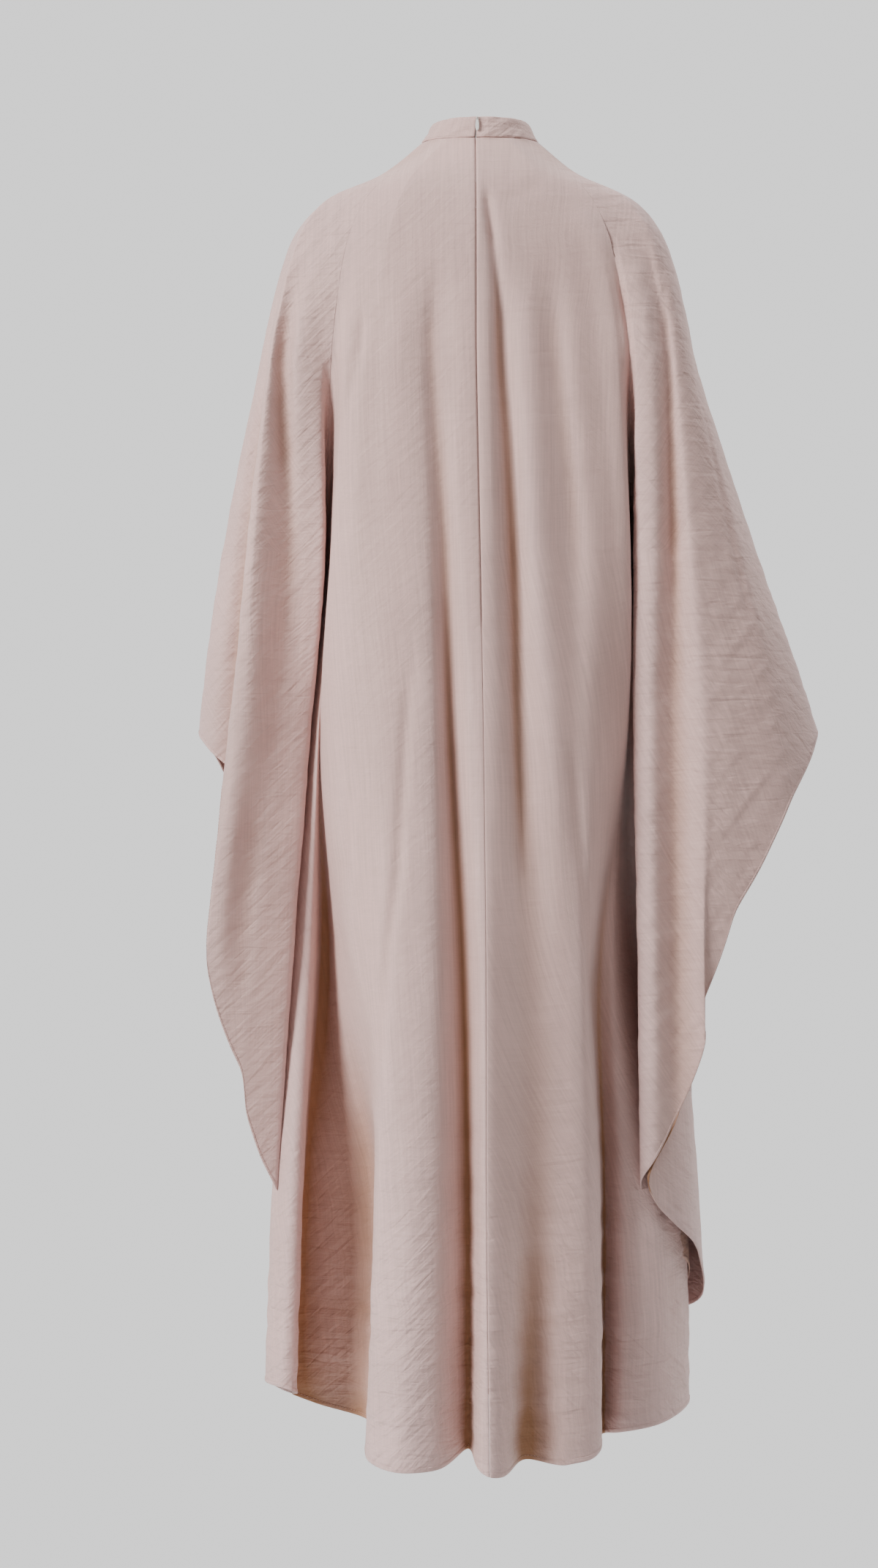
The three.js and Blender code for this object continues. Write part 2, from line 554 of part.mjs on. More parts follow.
function tapeRowOnPanel(sheet, side, row, depth) {
  const loop = row > SPLIT_ROW ? bodyLoop : wholeLoop;
  const seam = side > 0 ? 0 : loop.length - 1;
  const spread = clothPoint(loop, seam, row).distanceTo(clothPoint(loop, seam + side, row));
  return TAPE_OFFSETS.map((offset) => {
    const { point, normal } = clothFrame(loop, seam + side * offset / spread, row);
    return sheet.add(point.addScaledVector(normal, -depth), normal);
  });
}

// side is +1 for the left tape and -1 for the right one.
function tapeGeometry(side) {
  const sheet = new Sheet(ZIP_TAPE_WALL);
  const rows = TAPE_COLLAR_RISES.map((rise) => tapeRowOnCollar(sheet, side, rise));
  rows.push(tapeRowOnPanel(sheet, side, 0, TAPE_SEAM_DEPTH));
  const depth = WALL + TAPE_GAP;
  TAPE_PANEL_ROWS.forEach((row) => rows.push(tapeRowOnPanel(sheet, side, row, depth)));
  rows.push(tapeRowOnPanel(sheet, side, rowAtHeight(ZIP_END_HEIGHT), depth));
  sheet.weave(side > 0 ? rows : rows.map((row) => row.reverse()));
  return sheet.geometry();
}

const wasm = await Module();
wasm.setup();

function solidFrom(geometry) {
  const bare = new THREE.BufferGeometry();
  bare.setAttribute('position', geometry.getAttribute('position'));
  bare.setIndex(geometry.getIndex());
  const merged = mergeVertices(bare, 1e-4);
  const vertProperties = new Float32Array(merged.getAttribute('position').array);
  const triVerts = new Uint32Array(merged.getIndex().array);
  return new wasm.Manifold(new wasm.Mesh({ numProp: 3, vertProperties, triVerts }));
}

function geometryFrom(solid) {
  const mesh = solid.getMesh();
  const geometry = new THREE.BufferGeometry();
  const positions = new THREE.BufferAttribute(Float32Array.from(mesh.vertProperties), 3);
  geometry.setAttribute('position', positions);
  geometry.setIndex(Array.from(mesh.triVerts));
  return geometry;
}

// In the frame of the crossbar: x across, y into the collar, z up along it.
const BODY_FACE = PULL_STAND_OFF + COLLAR_WALL + ZIP_TAPE_WALL + 2 * TAPE_GAP;

function sliderGeometry() {
  const disc = new THREE.Shape().absarc(0, 0, RING.outer, 0, 2 * Math.PI);
  disc.holes.push(new THREE.Path().absarc(0, 0, RING.inner, 0, 2 * Math.PI, true));
  const settings = { depth: RING.width, bevelEnabled: false, curveSegments: RING.segments };
  const ring = new THREE.ExtrudeGeometry(disc, settings);
  ring.translate(0, 0, -RING.width / 2).rotateY(Math.PI / 2);
  const neckStart = (RING.inner + RING.outer) / 2;
  const neckLength = BODY_FACE + SLIDER.depth / 2 - neckStart;
  const neck = new THREE.BoxGeometry(RING.width, neckLength, SLIDER.neckHeight);
  neck.translate(0, neckStart + neckLength / 2, 0);
  const body = new THREE.BoxGeometry(SLIDER.width, SLIDER.depth, SLIDER.height);
  body.translate(0, BODY_FACE + SLIDER.depth / 2, SLIDER.above - SLIDER.height / 2);
  return geometryFrom(solidFrom(ring).add(solidFrom(neck)).add(solidFrom(body)));
}

// A drop-shaped plate with a window under its crossbar.
function pullGeometry() {
  const top = PULL.bar / 2;
  const half = PULL.width / 2;
  const outline = new THREE.Shape();
  outline.moveTo(-PULL.topWidth / 2, top);
  outline.lineTo(-half, half - PULL.length);
  outline.absarc(0, half - PULL.length, half, Math.PI, 2 * Math.PI, false);
  outline.lineTo(PULL.topWidth / 2, top);
  outline.closePath();
  const side = PULL.windowWidth / 2;
  const window = new THREE.Path();
  window.moveTo(-side, -top);
  window.lineTo(side, -top);
  window.lineTo(side, -top - PULL_WINDOW);
  window.lineTo(-side, -top - PULL_WINDOW);
  window.closePath();
  outline.holes.push(window);
  const settings = { depth: PULL.wall, bevelEnabled: false, curveSegments: 12 };
  const plate = new THREE.ExtrudeGeometry(outline, settings);
  return plate.translate(0, 0, -PULL.wall / 2).rotateX(Math.PI / 2);
}

// ---------------------------------------------------------------- assembly
const kaftan = new THREE.Group();

function addPiece(name, geometry, finish) {
  const material = new THREE.MeshStandardMaterial(finish);
  const mesh = new THREE.Mesh(geometry, material);
  mesh.name = name;
  mesh.position.z = -NECK_HEIGHT;
  kaftan.add(mesh);
  return mesh;
}

addPiece('back_left', backLeftPanel(), CLOTH);
addPiece('back_right', backRightPanel(), CLOTH);
addPiece('front', frontPanel(), CLOTH);
addPiece('collar', collarGeometry(), CLOTH);
addPiece('zip_tape_left', tapeGeometry(1), TAPE);
addPiece('zip_tape_right', tapeGeometry(-1), TAPE);

const collarTop = collarPoint(ZIP_ANGLE, 1);
const collarFoot = collarPoint(ZIP_ANGLE, 0);
const collarUp = collarTop.clone().sub(collarFoot);
const collarLean = Math.atan2(collarUp.y, collarUp.z);
for (const [name, geometry] of [['zip_slider', sliderGeometry()], ['zip_pull', pullGeometry()]]) {
  const piece = addPiece(name, geometry, METAL);
  piece.rotation.x = -collarLean;
  const crossbar = new THREE.Vector3(0, -PULL_STAND_OFF, -PULL_DROP);
  piece.position.add(crossbar.applyEuler(piece.rotation)).add(collarTop);
}

export default kaftan;
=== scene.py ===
"""Butterfly kaftan with a stand collar and a centre-back invisible zip, filled out as worn.

Lengths are in millimetres inside the shape classes and in metres in every mesh. Heights are
above the lowest point of the hem. The back faces -Y and +X is the wearer's right side.
"""

import json
import logging
import math
from collections.abc import Sequence
from dataclasses import dataclass, field
from enum import Enum

import bmesh
import bpy
import numpy as np
from mathutils import Matrix, Vector

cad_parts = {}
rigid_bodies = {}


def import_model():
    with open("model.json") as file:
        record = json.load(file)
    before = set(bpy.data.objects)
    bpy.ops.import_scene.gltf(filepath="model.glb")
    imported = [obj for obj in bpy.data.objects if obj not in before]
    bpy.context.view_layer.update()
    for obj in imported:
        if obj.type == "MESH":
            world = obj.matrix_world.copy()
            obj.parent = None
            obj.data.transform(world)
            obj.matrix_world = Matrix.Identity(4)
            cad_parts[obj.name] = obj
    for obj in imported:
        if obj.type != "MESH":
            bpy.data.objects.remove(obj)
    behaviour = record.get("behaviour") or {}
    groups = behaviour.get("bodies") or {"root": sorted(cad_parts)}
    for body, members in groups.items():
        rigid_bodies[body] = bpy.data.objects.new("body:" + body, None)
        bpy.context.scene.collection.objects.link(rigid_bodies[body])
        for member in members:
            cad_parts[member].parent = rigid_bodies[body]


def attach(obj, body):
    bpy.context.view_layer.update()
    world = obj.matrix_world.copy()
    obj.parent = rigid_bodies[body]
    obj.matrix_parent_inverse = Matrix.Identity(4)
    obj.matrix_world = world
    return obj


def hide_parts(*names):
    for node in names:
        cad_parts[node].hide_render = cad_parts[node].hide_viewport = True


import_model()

log = logging.getLogger("kaftan")

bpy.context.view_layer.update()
MM = 0.001
# Heights of the centre-back neck seam and of the level sections, from the chest to the hem.
NECK_HEIGHT = 1445.0
SECTION_HEIGHTS = np.array([1200.0, 985.0, 785.0, 535.0, 285.0, 0.0])
# Control rows of the underarm, where body and sleeves part, and of the hem.
SPLIT_ROW = 7
LAST_ROW = 11
# Sideways place, at the chest, of the cloth that comes from the shoulder ridge.
ARM_REACH = 246.0
# Height of the zip's lower end, and the degrees round the neck at which the zip lies.
ZIP_END_HEIGHT = 908.0
ZIP_ANGLE = 5.6
CLOTH_WALL = 0.8
# Distance of the collar's upright stitching from the zip's middle line.
COLLAR_STITCH_PLACE = 8.6

Colour = tuple[float, float, float]
Place = tuple[float, float, float]
Socket = bpy.types.NodeSocket
Inputs = dict[str | int, object]


# ---------------------------------------------------------------- folds of the draped cloth
class Zone(Enum):
    """The three tubes of the garment."""

    BODY = "body"
    LEFT = "left sleeve"
    RIGHT = "right sleeve"


class Face(Enum):
    """The two sides of each tube."""

    BACK = "back"
    FRONT = "front"


@dataclass(frozen=True)
class Fold:
    """A line running down the cloth.

    Args:
        name: What the line is.
        x: Sideways place at each section height.
        y: Depth at each section height.
        end: Height of the cloth's edge on this line.
    """

    name: str
    x: tuple[float, ...]
    y: tuple[float, ...]
    end: float = 0.0


@dataclass(frozen=True)
class Ring:
    """An oval ring round the neck, highest at the sides. Angle 0 is the centre back."""

    centre: float
    half_width: float
    back: float
    front: float
    side: float
    back_drop: float
    front_drop: float

    def point(self, degrees: np.ndarray) -> np.ndarray:
        """Points of the ring.

        Args:
            degrees: Angles round the neck.

        Returns:
            A point for each angle.
        """
        angle = np.radians(degrees)
        forward = np.cos(angle)
        depth = np.where(forward > 0, self.back, self.front)
        drop = np.where(forward > 0, self.back_drop, self.front_drop)
        height = self.side - drop * forward**2
        sideways = self.centre - self.half_width * np.sin(angle)
        return np.stack([sideways, -depth * forward, height], axis=-1)


NECK_RING = Ring(2.5, 66, 62, 64, 1450, 5, 58)
COLLAR_RING = Ring(3.5, 54, 56, 53, 1471, 2, 53)

# Reach from the neck seam to the chest and height, on the shoulder ridge, the back and the front.
YOKE_ROWS = (
    # Ridge reach, ridge height, back reach, back height, front reach, front height.
    (0.00, 1450, 0.00, 1445, 0.00, 1392),
    (0.29, 1405, 0.28, 1424, 0.25, 1377),
    (0.63, 1377, 0.52, 1398, 0.48, 1357),
    (0.78, 1347, 0.70, 1366, 0.68, 1331),
    (0.85, 1316, 0.83, 1328, 0.83, 1298),
    (0.93, 1262, 0.93, 1268, 0.93, 1254),
)

ZIP_LINE = Fold("zip_line", (-3, 1, 4, 6, 6, 9), (-120, -133, -152, -178, -202, -226), 2)
BACK_LEFT_FOLDS = (
    Fold("zip_crest_edge", (-24, -20, -13, -3, -2, -3), (-119, -131, -148, -171, -190, -213), 8),
    Fold("centre_trough", (-50, -37, -32, -19, -14, -12), (-112, -118, -126, -144, -158, -164), 20),
    Fold("crest_break", (-66, -57, -50, -47, -45, -46), (-118, -131, -150, -175, -196, -206), 5),
    Fold("main_crest", (-90, -88, -80, -80, -80, -88), (-120, -132, -151, -177, -201, -214), 4),
    Fold("main_ridge", (-112, -114, -110, -105, -111, -121), (-115, -128, -145, -166, -174, -164), 7),
    Fold("flank", (-129, -140, -150, -138, -112, -121), (-111, -120, -120, -114, -44, -44), 20),
    Fold("body_edge", (-143, -161, -172, -151, -127, -136), (-105, -98, -82, -60, -8, -10), 22),
    Fold("recess_floor", (-149, -163, -175, -167, -176, -180), (-100, -78, -56, 6, 8, 8), 30),
    Fold("pleat_inside", (-152, -164, -176, -178, -196, -210), (-96, -62, -46, 6, 10, 10), 41),
    Fold("pleat_edge", (-154, -165, -178, -186, -195, -203), (-93, -50, -49, -39, -58, -60), 56),
    Fold("pleat_face", (-156, -166, -184, -198, -207, -219), (-90, -34, -38, -40, -64, -66), 64),
    Fold("pleat_side", (-159, -169, -191, -213, -228, -238), (-88, -16, -18, -20, -34, -28), 62),
)
BACK_RIGHT_FOLDS = (
    Fold("zip_crest_side", (10, 15, 21, 23, 24, 25), (-119, -131, -147, -170, -192, -214), 0),
    Fold("zip_trough", (24, 38, 45, 57, 58, 48), (-109, -115, -129, -150, -162, -162), 8),
    Fold("second_crest", (53, 62, 77, 87, 87, 86), (-116, -127, -136, -145, -157, -174), 3),
    Fold("shallow_trough", (84, 103, 104, 101, 103, 104), (-102, -107, -123, -142, -154, -170), 5),
    Fold("third_crest", (102, 121, 123, 114, 117, 118), (-105, -108, -115, -136, -148, -162), 6),
    Fold("main_edge", (128, 148, 146, 121, 129, 131), (-98, -96, -92, -114, -126, -143), 12),
    Fold("inner_corner", (150, 165, 163, 133, 138, 137), (-96, -86, -70, -62, -66, -66), 14),
    Fold("panel_near", (157, 167, 166, 149, 156, 154), (-92, -62, -42, -62, -92, -96), 21),
    Fold("panel_middle", (160, 168, 168, 168, 196, 201), (-90, -38, -6, -30, -84, -80), 28),
    Fold("panel_side", (162, 168, 176, 186, 230, 240), (-88, -17, 24, 20, 0, 10), 34),
)
SIDE_LEFT = Fold("side_left", (-194, -214, -231, -241), (26, 34, 42, 50), 50)
SIDE_RIGHT = Fold("side_right", (188, 196, 218, 230), (44, 60, 92, 108), 20)
UNDERARM_LEFT = Fold("underarm_left", (-200, -223, -240, -254), (0, 2, 4, 8), 316)
UNDERARM_RIGHT = Fold("underarm_right", (184, 205, 224, 230), (4, 50, 68, 84), 128)
RECESS_BACK_LEFT = Fold("recess_back_left", (-162, -172), (-87, -2.4))
RECESS_BACK_RIGHT = Fold("recess_back_right", (165, 168), (-85, -2.2))
RECESS_FRONT_LEFT = Fold("recess_front_left", (-172, -172), (74, 2.4))
RECESS_FRONT_RIGHT = Fold("recess_front_right", (165, 168), (72, 2.2))
SLEEVE_BACK_LEFT = (
    Fold("inner_wall", (-166, -174, -197, -220, -238, -250), (-87, -18, -16, -12, -12, -4), 306),
    Fold("inner_edge", (-174, -170, -186, -205, -222, -236), (-88, -66, -50, -48, -47, -44), 277),
    Fold("inner_crest", (-192, -184, -198, -218, -234, -246), (-91, -66, -57, -56, -52, -48), 300),
    Fold("hem_turn", (-203, -198, -211, -238, -266, -276), (-89, -64, -61, -62, -57, -52), 366),
    Fold("sleeve_trough", (-214, -211, -226, -252, -268, -276), (-76, -63, -67, -66, -54, -46), 412),
    Fold("outer_crest", (-229, -246, -259, -300, -306, -308), (-80, -86, -88, -68, -54, -46), 530),
    Fold("fold_edge", (-233, -260, -278, -298, -306, -308), (-67, -74, -70, -50, -36, -32), 723),
    Fold("fold_inside", (-235, -257, -268, -292, -300, -304), (-53, -47, -40, -30, -22, -18), 742),
    Fold("tip_flap", (-241, -275, -295, -312, -320, -324), (-36, -34, -30, -20, -14, -10), 764),
)
WRIST_LEFT = Fold("wrist_left", (-246, -289, -315, -330, -338, -342), (0, 0, 0, 0, 0, 0), 787)
SLEEVE_FRONT_LEFT = (
    Fold("front_tip", (-237, -268, -284, -288, -292, -294), (38, 42, 38, 34, 30, 26), 735),
    Fold("front_outer_crest", (-226, -244, -254, -262, -270, -274), (62, 70, 64, 50, 40, 36), 452),
    Fold("front_trough", (-210, -214, -228, -244, -264, -272), (70, 54, 46, 44, 36, 32), 372),
    Fold("front_inner_crest", (-192, -190, -214, -237, -251, -264), (90, 80, 66, 54, 42, 36), 345),
    Fold("front_inner_edge", (-180, -181, -207, -232, -240, -256), (84, 60, 46, 38, 31, 28), 333),
    Fold("front_inner_wall", (-176, -175, -203, -229, -240, -257), (78, 16, 20, 19, 18, 20), 322),
)
SLEEVE_BACK_RIGHT = (
    Fold("inner_wall", (167, 171, 178, 204, 234, 242), (-87, -16, -14, 10, 12, 18), 182),
    Fold("inner_turn", (169, 173, 174, 192, 216, 226), (-91, -46, -40, -46, -48, -42), 214),
    Fold("inner_edge", (172, 171, 171, 173, 175, 180), (-95, -76, -72, -88, -96, -98), 289),
    Fold("inner_crest", (188, 191, 188, 190, 190, 190), (-97, -89, -86, -100, -108, -111), 318),
    Fold("sleeve_trough", (206, 215, 215, 216, 216, 216), (-86, -76, -74, -84, -95, -98), 366),
    Fold("middle_crest", (214, 231, 243, 246, 252, 254), (-88, -93, -94, -97, -96, -94), 446),
    Fold("hem_bend", (220, 249, 260, 247, 236, 236), (-86, -88, -92, -92, -80, -78), 492),
    Fold("outer_trough", (228, 262, 282, 281, 284, 286), (-79, -82, -86, -84, -74, -68), 592),
    Fold("outer_crest", (237, 292, 340, 368, 390, 400), (-62, -62, -60, -56, -48, -42), 719),
)
WRIST_RIGHT = Fold("wrist_right", (246, 316, 384, 440, 470, 480), (0, 0, 0, 0, 0, 0), 787)
SLEEVE_FRONT_RIGHT = (
    Fold("front_inner_wall", (168, 176, 192, 214, 231, 242), (76, 16, 24, 68, 84, 98), 126),
    Fold("front_inner_edge", (174, 181, 199, 228, 250, 262), (82, 58, 50, 60, 54, 58), 142),
    Fold("wrap_side", (188, 190, 206, 234, 246, 268), (90, 80, 66, 40, 4, 2), 180),
    Fold("wrap_shoulder", (200, 208, 232, 240, 237, 252), (78, 62, 54, 18, -46, -52), 222),
    Fold("wrap_face", (212, 226, 262, 241, 214, 226), (68, 64, 56, -2, -80, -88), 248),
    Fold("wrap_edge", (222, 248, 292, 239, 180, 190), (58, 60, 52, -20, -106, -110), 294),
    Fold("wrap_rise", (230, 270, 322, 236, 203, 206), (46, 52, 44, -36, -106, -110), 341),
    Fold("wrap_top", (238, 286, 326, 234, 226, 230), (30, 38, 34, -48, -107, -110), 388),
    Fold("front_tip", (243, 300, 350, 246, 246, 248), (14, 20, 18, -54, -97, -100), 748),
)
FRONT_FOLDS = (
    Fold("side_wall_left", (-167, -170, -195, -217, -226, -234), (77, 16, 58, 68, 78, 88), 34),
    Fold("left_edge", (-152, -162, -180, -188, -200, -210), (84, 74, 86, 98, 110, 120), 18),
    Fold("left_trough", (-126, -130, -134, -140, -150, -160), (91, 90, 88, 92, 98, 104), 14),
    Fold("left_crest", (-98, -100, -104, -112, -124, -136), (104, 112, 118, 138, 160, 182), 8),
    Fold("left_centre_trough", (-62, -60, -62, -66, -72, -78), (106, 111, 110, 118, 128, 136), 12),
    Fold("centre_crest", (-18, -20, -24, -26, -30, -34), (112, 124, 133, 160, 190, 218), 4),
    Fold("right_centre_trough", (24, 26, 26, 28, 32, 36), (108, 115, 114, 123, 132, 140), 12),
    Fold("right_crest", (64, 66, 70, 78, 88, 98), (107, 118, 126, 150, 178, 205), 6),
    Fold("right_trough", (102, 108, 112, 116, 124, 132), (94, 98, 98, 106, 114, 122), 12),
    Fold("right_edge", (140, 154, 166, 170, 180, 194), (86, 78, 90, 108, 126, 142), 12),
    Fold("side_wall_right", (160, 171, 184, 186, 206, 220), (76, 16, 64, 86, 108, 124), 16),
)


@dataclass(frozen=True)
class Crease:
    """A soft trough or ridge pressed into one side of a tube.

    Args:
        zone: The tube it lies on.
        path: Sideways place and height of points along it, from the top down.
        width: Half width at which it has mostly faded.
        depth: How far the cloth moves outwards; negative for a trough.
        face: The side of the tube it lies on.
        taper: Share of its length over which each end fades out.
    """

    zone: Zone
    path: tuple[tuple[float, float], ...]
    width: float
    depth: float
    face: Face = Face.BACK
    taper: float = 0.25


CREASES = (
    Crease(
        Zone.BODY,
        ((-70, 905), (-76, 840), (-80, 786), (-88, 640), (-101, 542), (-107, 460), (-114, 380)),
        6,
        -3.5,
    ),
    Crease(Zone.BODY, ((-158, 590), (-151, 548), (-134, 490), (-120, 424), (-116, 380)), 7, -2.5),
    Crease(Zone.BODY, ((-140, 740), (-146, 668), (-155, 610)), 7, -2.5),
    Crease(Zone.BODY, ((100, 790), (103, 747), (114, 620), (122, 494), (124, 430)), 5, -3.0),
    Crease(Zone.RIGHT, ((200, 1340), (204, 1256), (209, 1122), (213, 1014), (214, 920)), 6, -3.0),
    Crease(Zone.RIGHT, ((228, 1250), (247, 1153), (272, 1030), (297, 919), (310, 860)), 4, -1.6),
    Crease(
        Zone.LEFT,
        ((-228, 1262), (-243, 1156), (-254, 1067), (-266, 938), (-272, 858), (-279, 752)),
        5,
        -4.0,
    ),
    Crease(
        Zone.LEFT,
        ((-204, 1310), (-211, 1250), (-216, 1187), (-214, 1110), (-210, 1030)),
        9,
        -4.5,
        taper=0.3,
    ),
    Crease(Zone.LEFT, ((-267, 770), (-272, 700), (-280, 620), (-286, 540), (-277, 480)), 12, 5.0, taper=0.35),
    Crease(Zone.LEFT, ((-240, 760), (-246, 700), (-254, 600), (-258, 520), (-254, 440)), 13, -2.5, taper=0.3),
    Crease(Zone.BODY, ((-124, 1262), (-130, 1210), (-142, 1154), (-150, 1110)), 7, -2.5),
    Crease(Zone.BODY, ((78, 1399), (53, 1380), (21, 1365)), 6, -1.2),
    Crease(
        Zone.BODY,
        ((8, 1400), (11, 1372), (17, 1312), (24, 1240), (27, 1180), (33, 1110), (38, 1000), (40, 900)),
        6,
        -5.0,
        taper=0.2,
    ),
    Crease(Zone.BODY, ((8, 1386), (9, 1370), (12, 1344), (17, 1308)), 5, -3.5, taper=0.3),
    Crease(Zone.BODY, ((38, 1020), (41, 940), (42, 820), (46, 700), (50, 600)), 6, -5.0, taper=0.3),
    Crease(Zone.BODY, ((96, 1366), (118, 1345), (140, 1318), (152, 1300)), 13, 3.0, taper=0.4),
)


# ---------------------------------------------------------------- curves and noise
def heading(before: np.ndarray, here: np.ndarray, after: np.ndarray) -> np.ndarray:
    """Returns the direction of a curve at a point, from the points beside it."""
    reach = np.linalg.norm(here - before, axis=-1) + np.linalg.norm(after - here, axis=-1)
    return (after - before) / np.maximum(reach, 1e-6)[..., None]


def bridge(corners: Sequence[np.ndarray], blend: np.ndarray) -> np.ndarray:
    """Smooth curve between the middle two of four points.

    Args:
        corners: The four points, each an array of the same shape.
        blend: Place between the middle two, from 0 to 1.

    Returns:
        The points on the curve.
    """
    before, start, finish, after = corners
    chord = np.linalg.norm(finish - start, axis=-1, keepdims=True)
    leave = heading(before, start, finish) * chord
    arrive = heading(start, finish, after) * chord
    t = blend[..., None]
    square, cube = t * t, t * t * t
    ends = start * (2 * cube - 3 * square + 1) + finish * (3 * square - 2 * cube)
    return ends + leave * (cube - 2 * square + t) + arrive * (cube - square)


def distances(points: np.ndarray, axis: int = 0) -> np.ndarray:
    """How far each point lies along its chain.

    Args:
        points: Points of one chain, or of a grid of chains.
        axis: The axis that runs along the chains.

    Returns:
        The distance of each point from the first of its chain.
    """
    steps = np.linalg.norm(np.diff(points, axis=axis), axis=-1)
    travelled = np.cumsum(steps, axis=axis)
    return np.concatenate([np.zeros_like(travelled.take([0], axis=axis)), travelled], axis=axis)


def point_along(chain: np.ndarray, travelled: np.ndarray, distance: float) -> list[float]:
    """Returns the point of a chain that lies at a distance along it."""
    return [np.interp(distance, travelled, chain[:, axis]) for axis in range(3)]


def soft_step(value: np.ndarray) -> np.ndarray:
    """Returns a smooth step from 0 to 1."""
    t = np.clip(value, 0, 1)
    return t * t * (3 - 2 * t)


def wavy_noise(u: np.ndarray, v: np.ndarray, cell: tuple[float, float], seed: int) -> np.ndarray:
    """Smooth noise on a lattice of seeded random values.

    Args:
        u: First coordinate of each point.
        v: Second coordinate of each point.
        cell: Size of the lattice along u and v.
        seed: Start of the random values.

    Returns:
        A value of about -1 to 1 for each point.
    """
    size = 128
    lattice = np.random.default_rng(seed).uniform(-1, 1, (size, size))
    a, b = u / cell[0] + size / 2, v / cell[1] + size / 2
    i, j = np.floor(a).astype(int), np.floor(b).astype(int)
    p, q = soft_step(a - i), soft_step(b - j)
    k, after = i % size, (i + 1) % size
    low, high = (lattice[k, row % size] * (1 - p) + lattice[after, row % size] * p for row in (j, j + 1))
    return low * (1 - q) + high * q


# ---------------------------------------------------------------- the draped shape
@dataclass
class Line:
    """A fold with its yoke: control points from the neck seam to the hem, and its end height."""

    points: np.ndarray
    end: float


def section_points(fold: Fold, first: int) -> np.ndarray:
    """Returns the fold's control points, the first of them at the given section."""
    heights = SECTION_HEIGHTS[first : first + len(fold.x)]
    return np.stack([np.array(fold.x, float), np.array(fold.y, float), heights], axis=-1)


class Loop:
    """Cloth that runs round through a closed row of lines, the first and last being the same."""

    def __init__(self, lines: Sequence[Line]) -> None:
        """Takes the lines in order round the loop."""
        self.points = np.stack([line.points for line in lines])
        self.ends = np.array([line.end for line in lines])

    def _down(self, index: np.ndarray, down: np.ndarray) -> np.ndarray:
        """Points on lines.

        Args:
            index: Number of each line.
            down: Place on it, counted in control rows.

        Returns:
            The points.
        """
        last = self.points.shape[1] - 1
        span = np.clip(np.floor(down).astype(int), 0, last - 1)
        rows = (np.maximum(span - 1, 0), span, span + 1, np.minimum(span + 2, last))
        return bridge([self.points[index, row] for row in rows], down - span)

    def point(self, across: np.ndarray, down: np.ndarray) -> np.ndarray:
        """Points of the cloth.

        Args:
            across: Place round the loop, counted in lines.
            down: Place from the neck seam to the hem, counted in control rows.

        Returns:
            The points.
        """
        count = len(self.points) - 1
        span = np.clip(np.floor(across).astype(int), 0, count - 1)
        corners = []
        for k in (-1, 0, 1, 2):
            index = span + k
            index = np.where(index < 0, index + count, index)
            index = np.where(index > count, index - count, index)
            corners.append(self._down(index, down))
        return bridge(corners, across - span)

    def edge(self, across: np.ndarray) -> np.ndarray:
        """The smooth line of the cloth's edge.

        Args:
            across: Places round the loop, counted in lines.

        Returns:
            The height of the edge at each place.
        """
        ends = self.ends
        after = np.diff(ends)
        before = np.roll(after, 1)
        same = before * after > 0
        total = np.where(same, before + after, 1)
        slopes = np.where(same, 2 * before * after / total, 0)
        slopes = np.append(slopes, slopes[0])
        span = np.clip(np.floor(across).astype(int), 0, len(ends) - 2)
        t = across - span
        h00, h10 = 2 * t**3 - 3 * t**2 + 1, t**3 - 2 * t**2 + t
        h01, h11 = 3 * t**2 - 2 * t**3, t**3 - t**2
        lower = h00 * ends[span] + h10 * slopes[span]
        return lower + h01 * ends[span + 1] + h11 * slopes[span + 1]

    def row_at_edge_share(self, across: np.ndarray, share: np.ndarray) -> np.ndarray:
        """Rows part of the way from the underarm to the edge.

        Args:
            across: Places round the loop, counted in lines.
            share: How much of the way down, from 0 to 1.

        Returns:
            The place of each row, counted in control rows.
        """
        underarm = SECTION_HEIGHTS[1]
        height = underarm + (self.edge(across) - underarm) * share
        return np.interp(-height, -SECTION_HEIGHTS[1:], np.arange(SPLIT_ROW, LAST_ROW + 1))


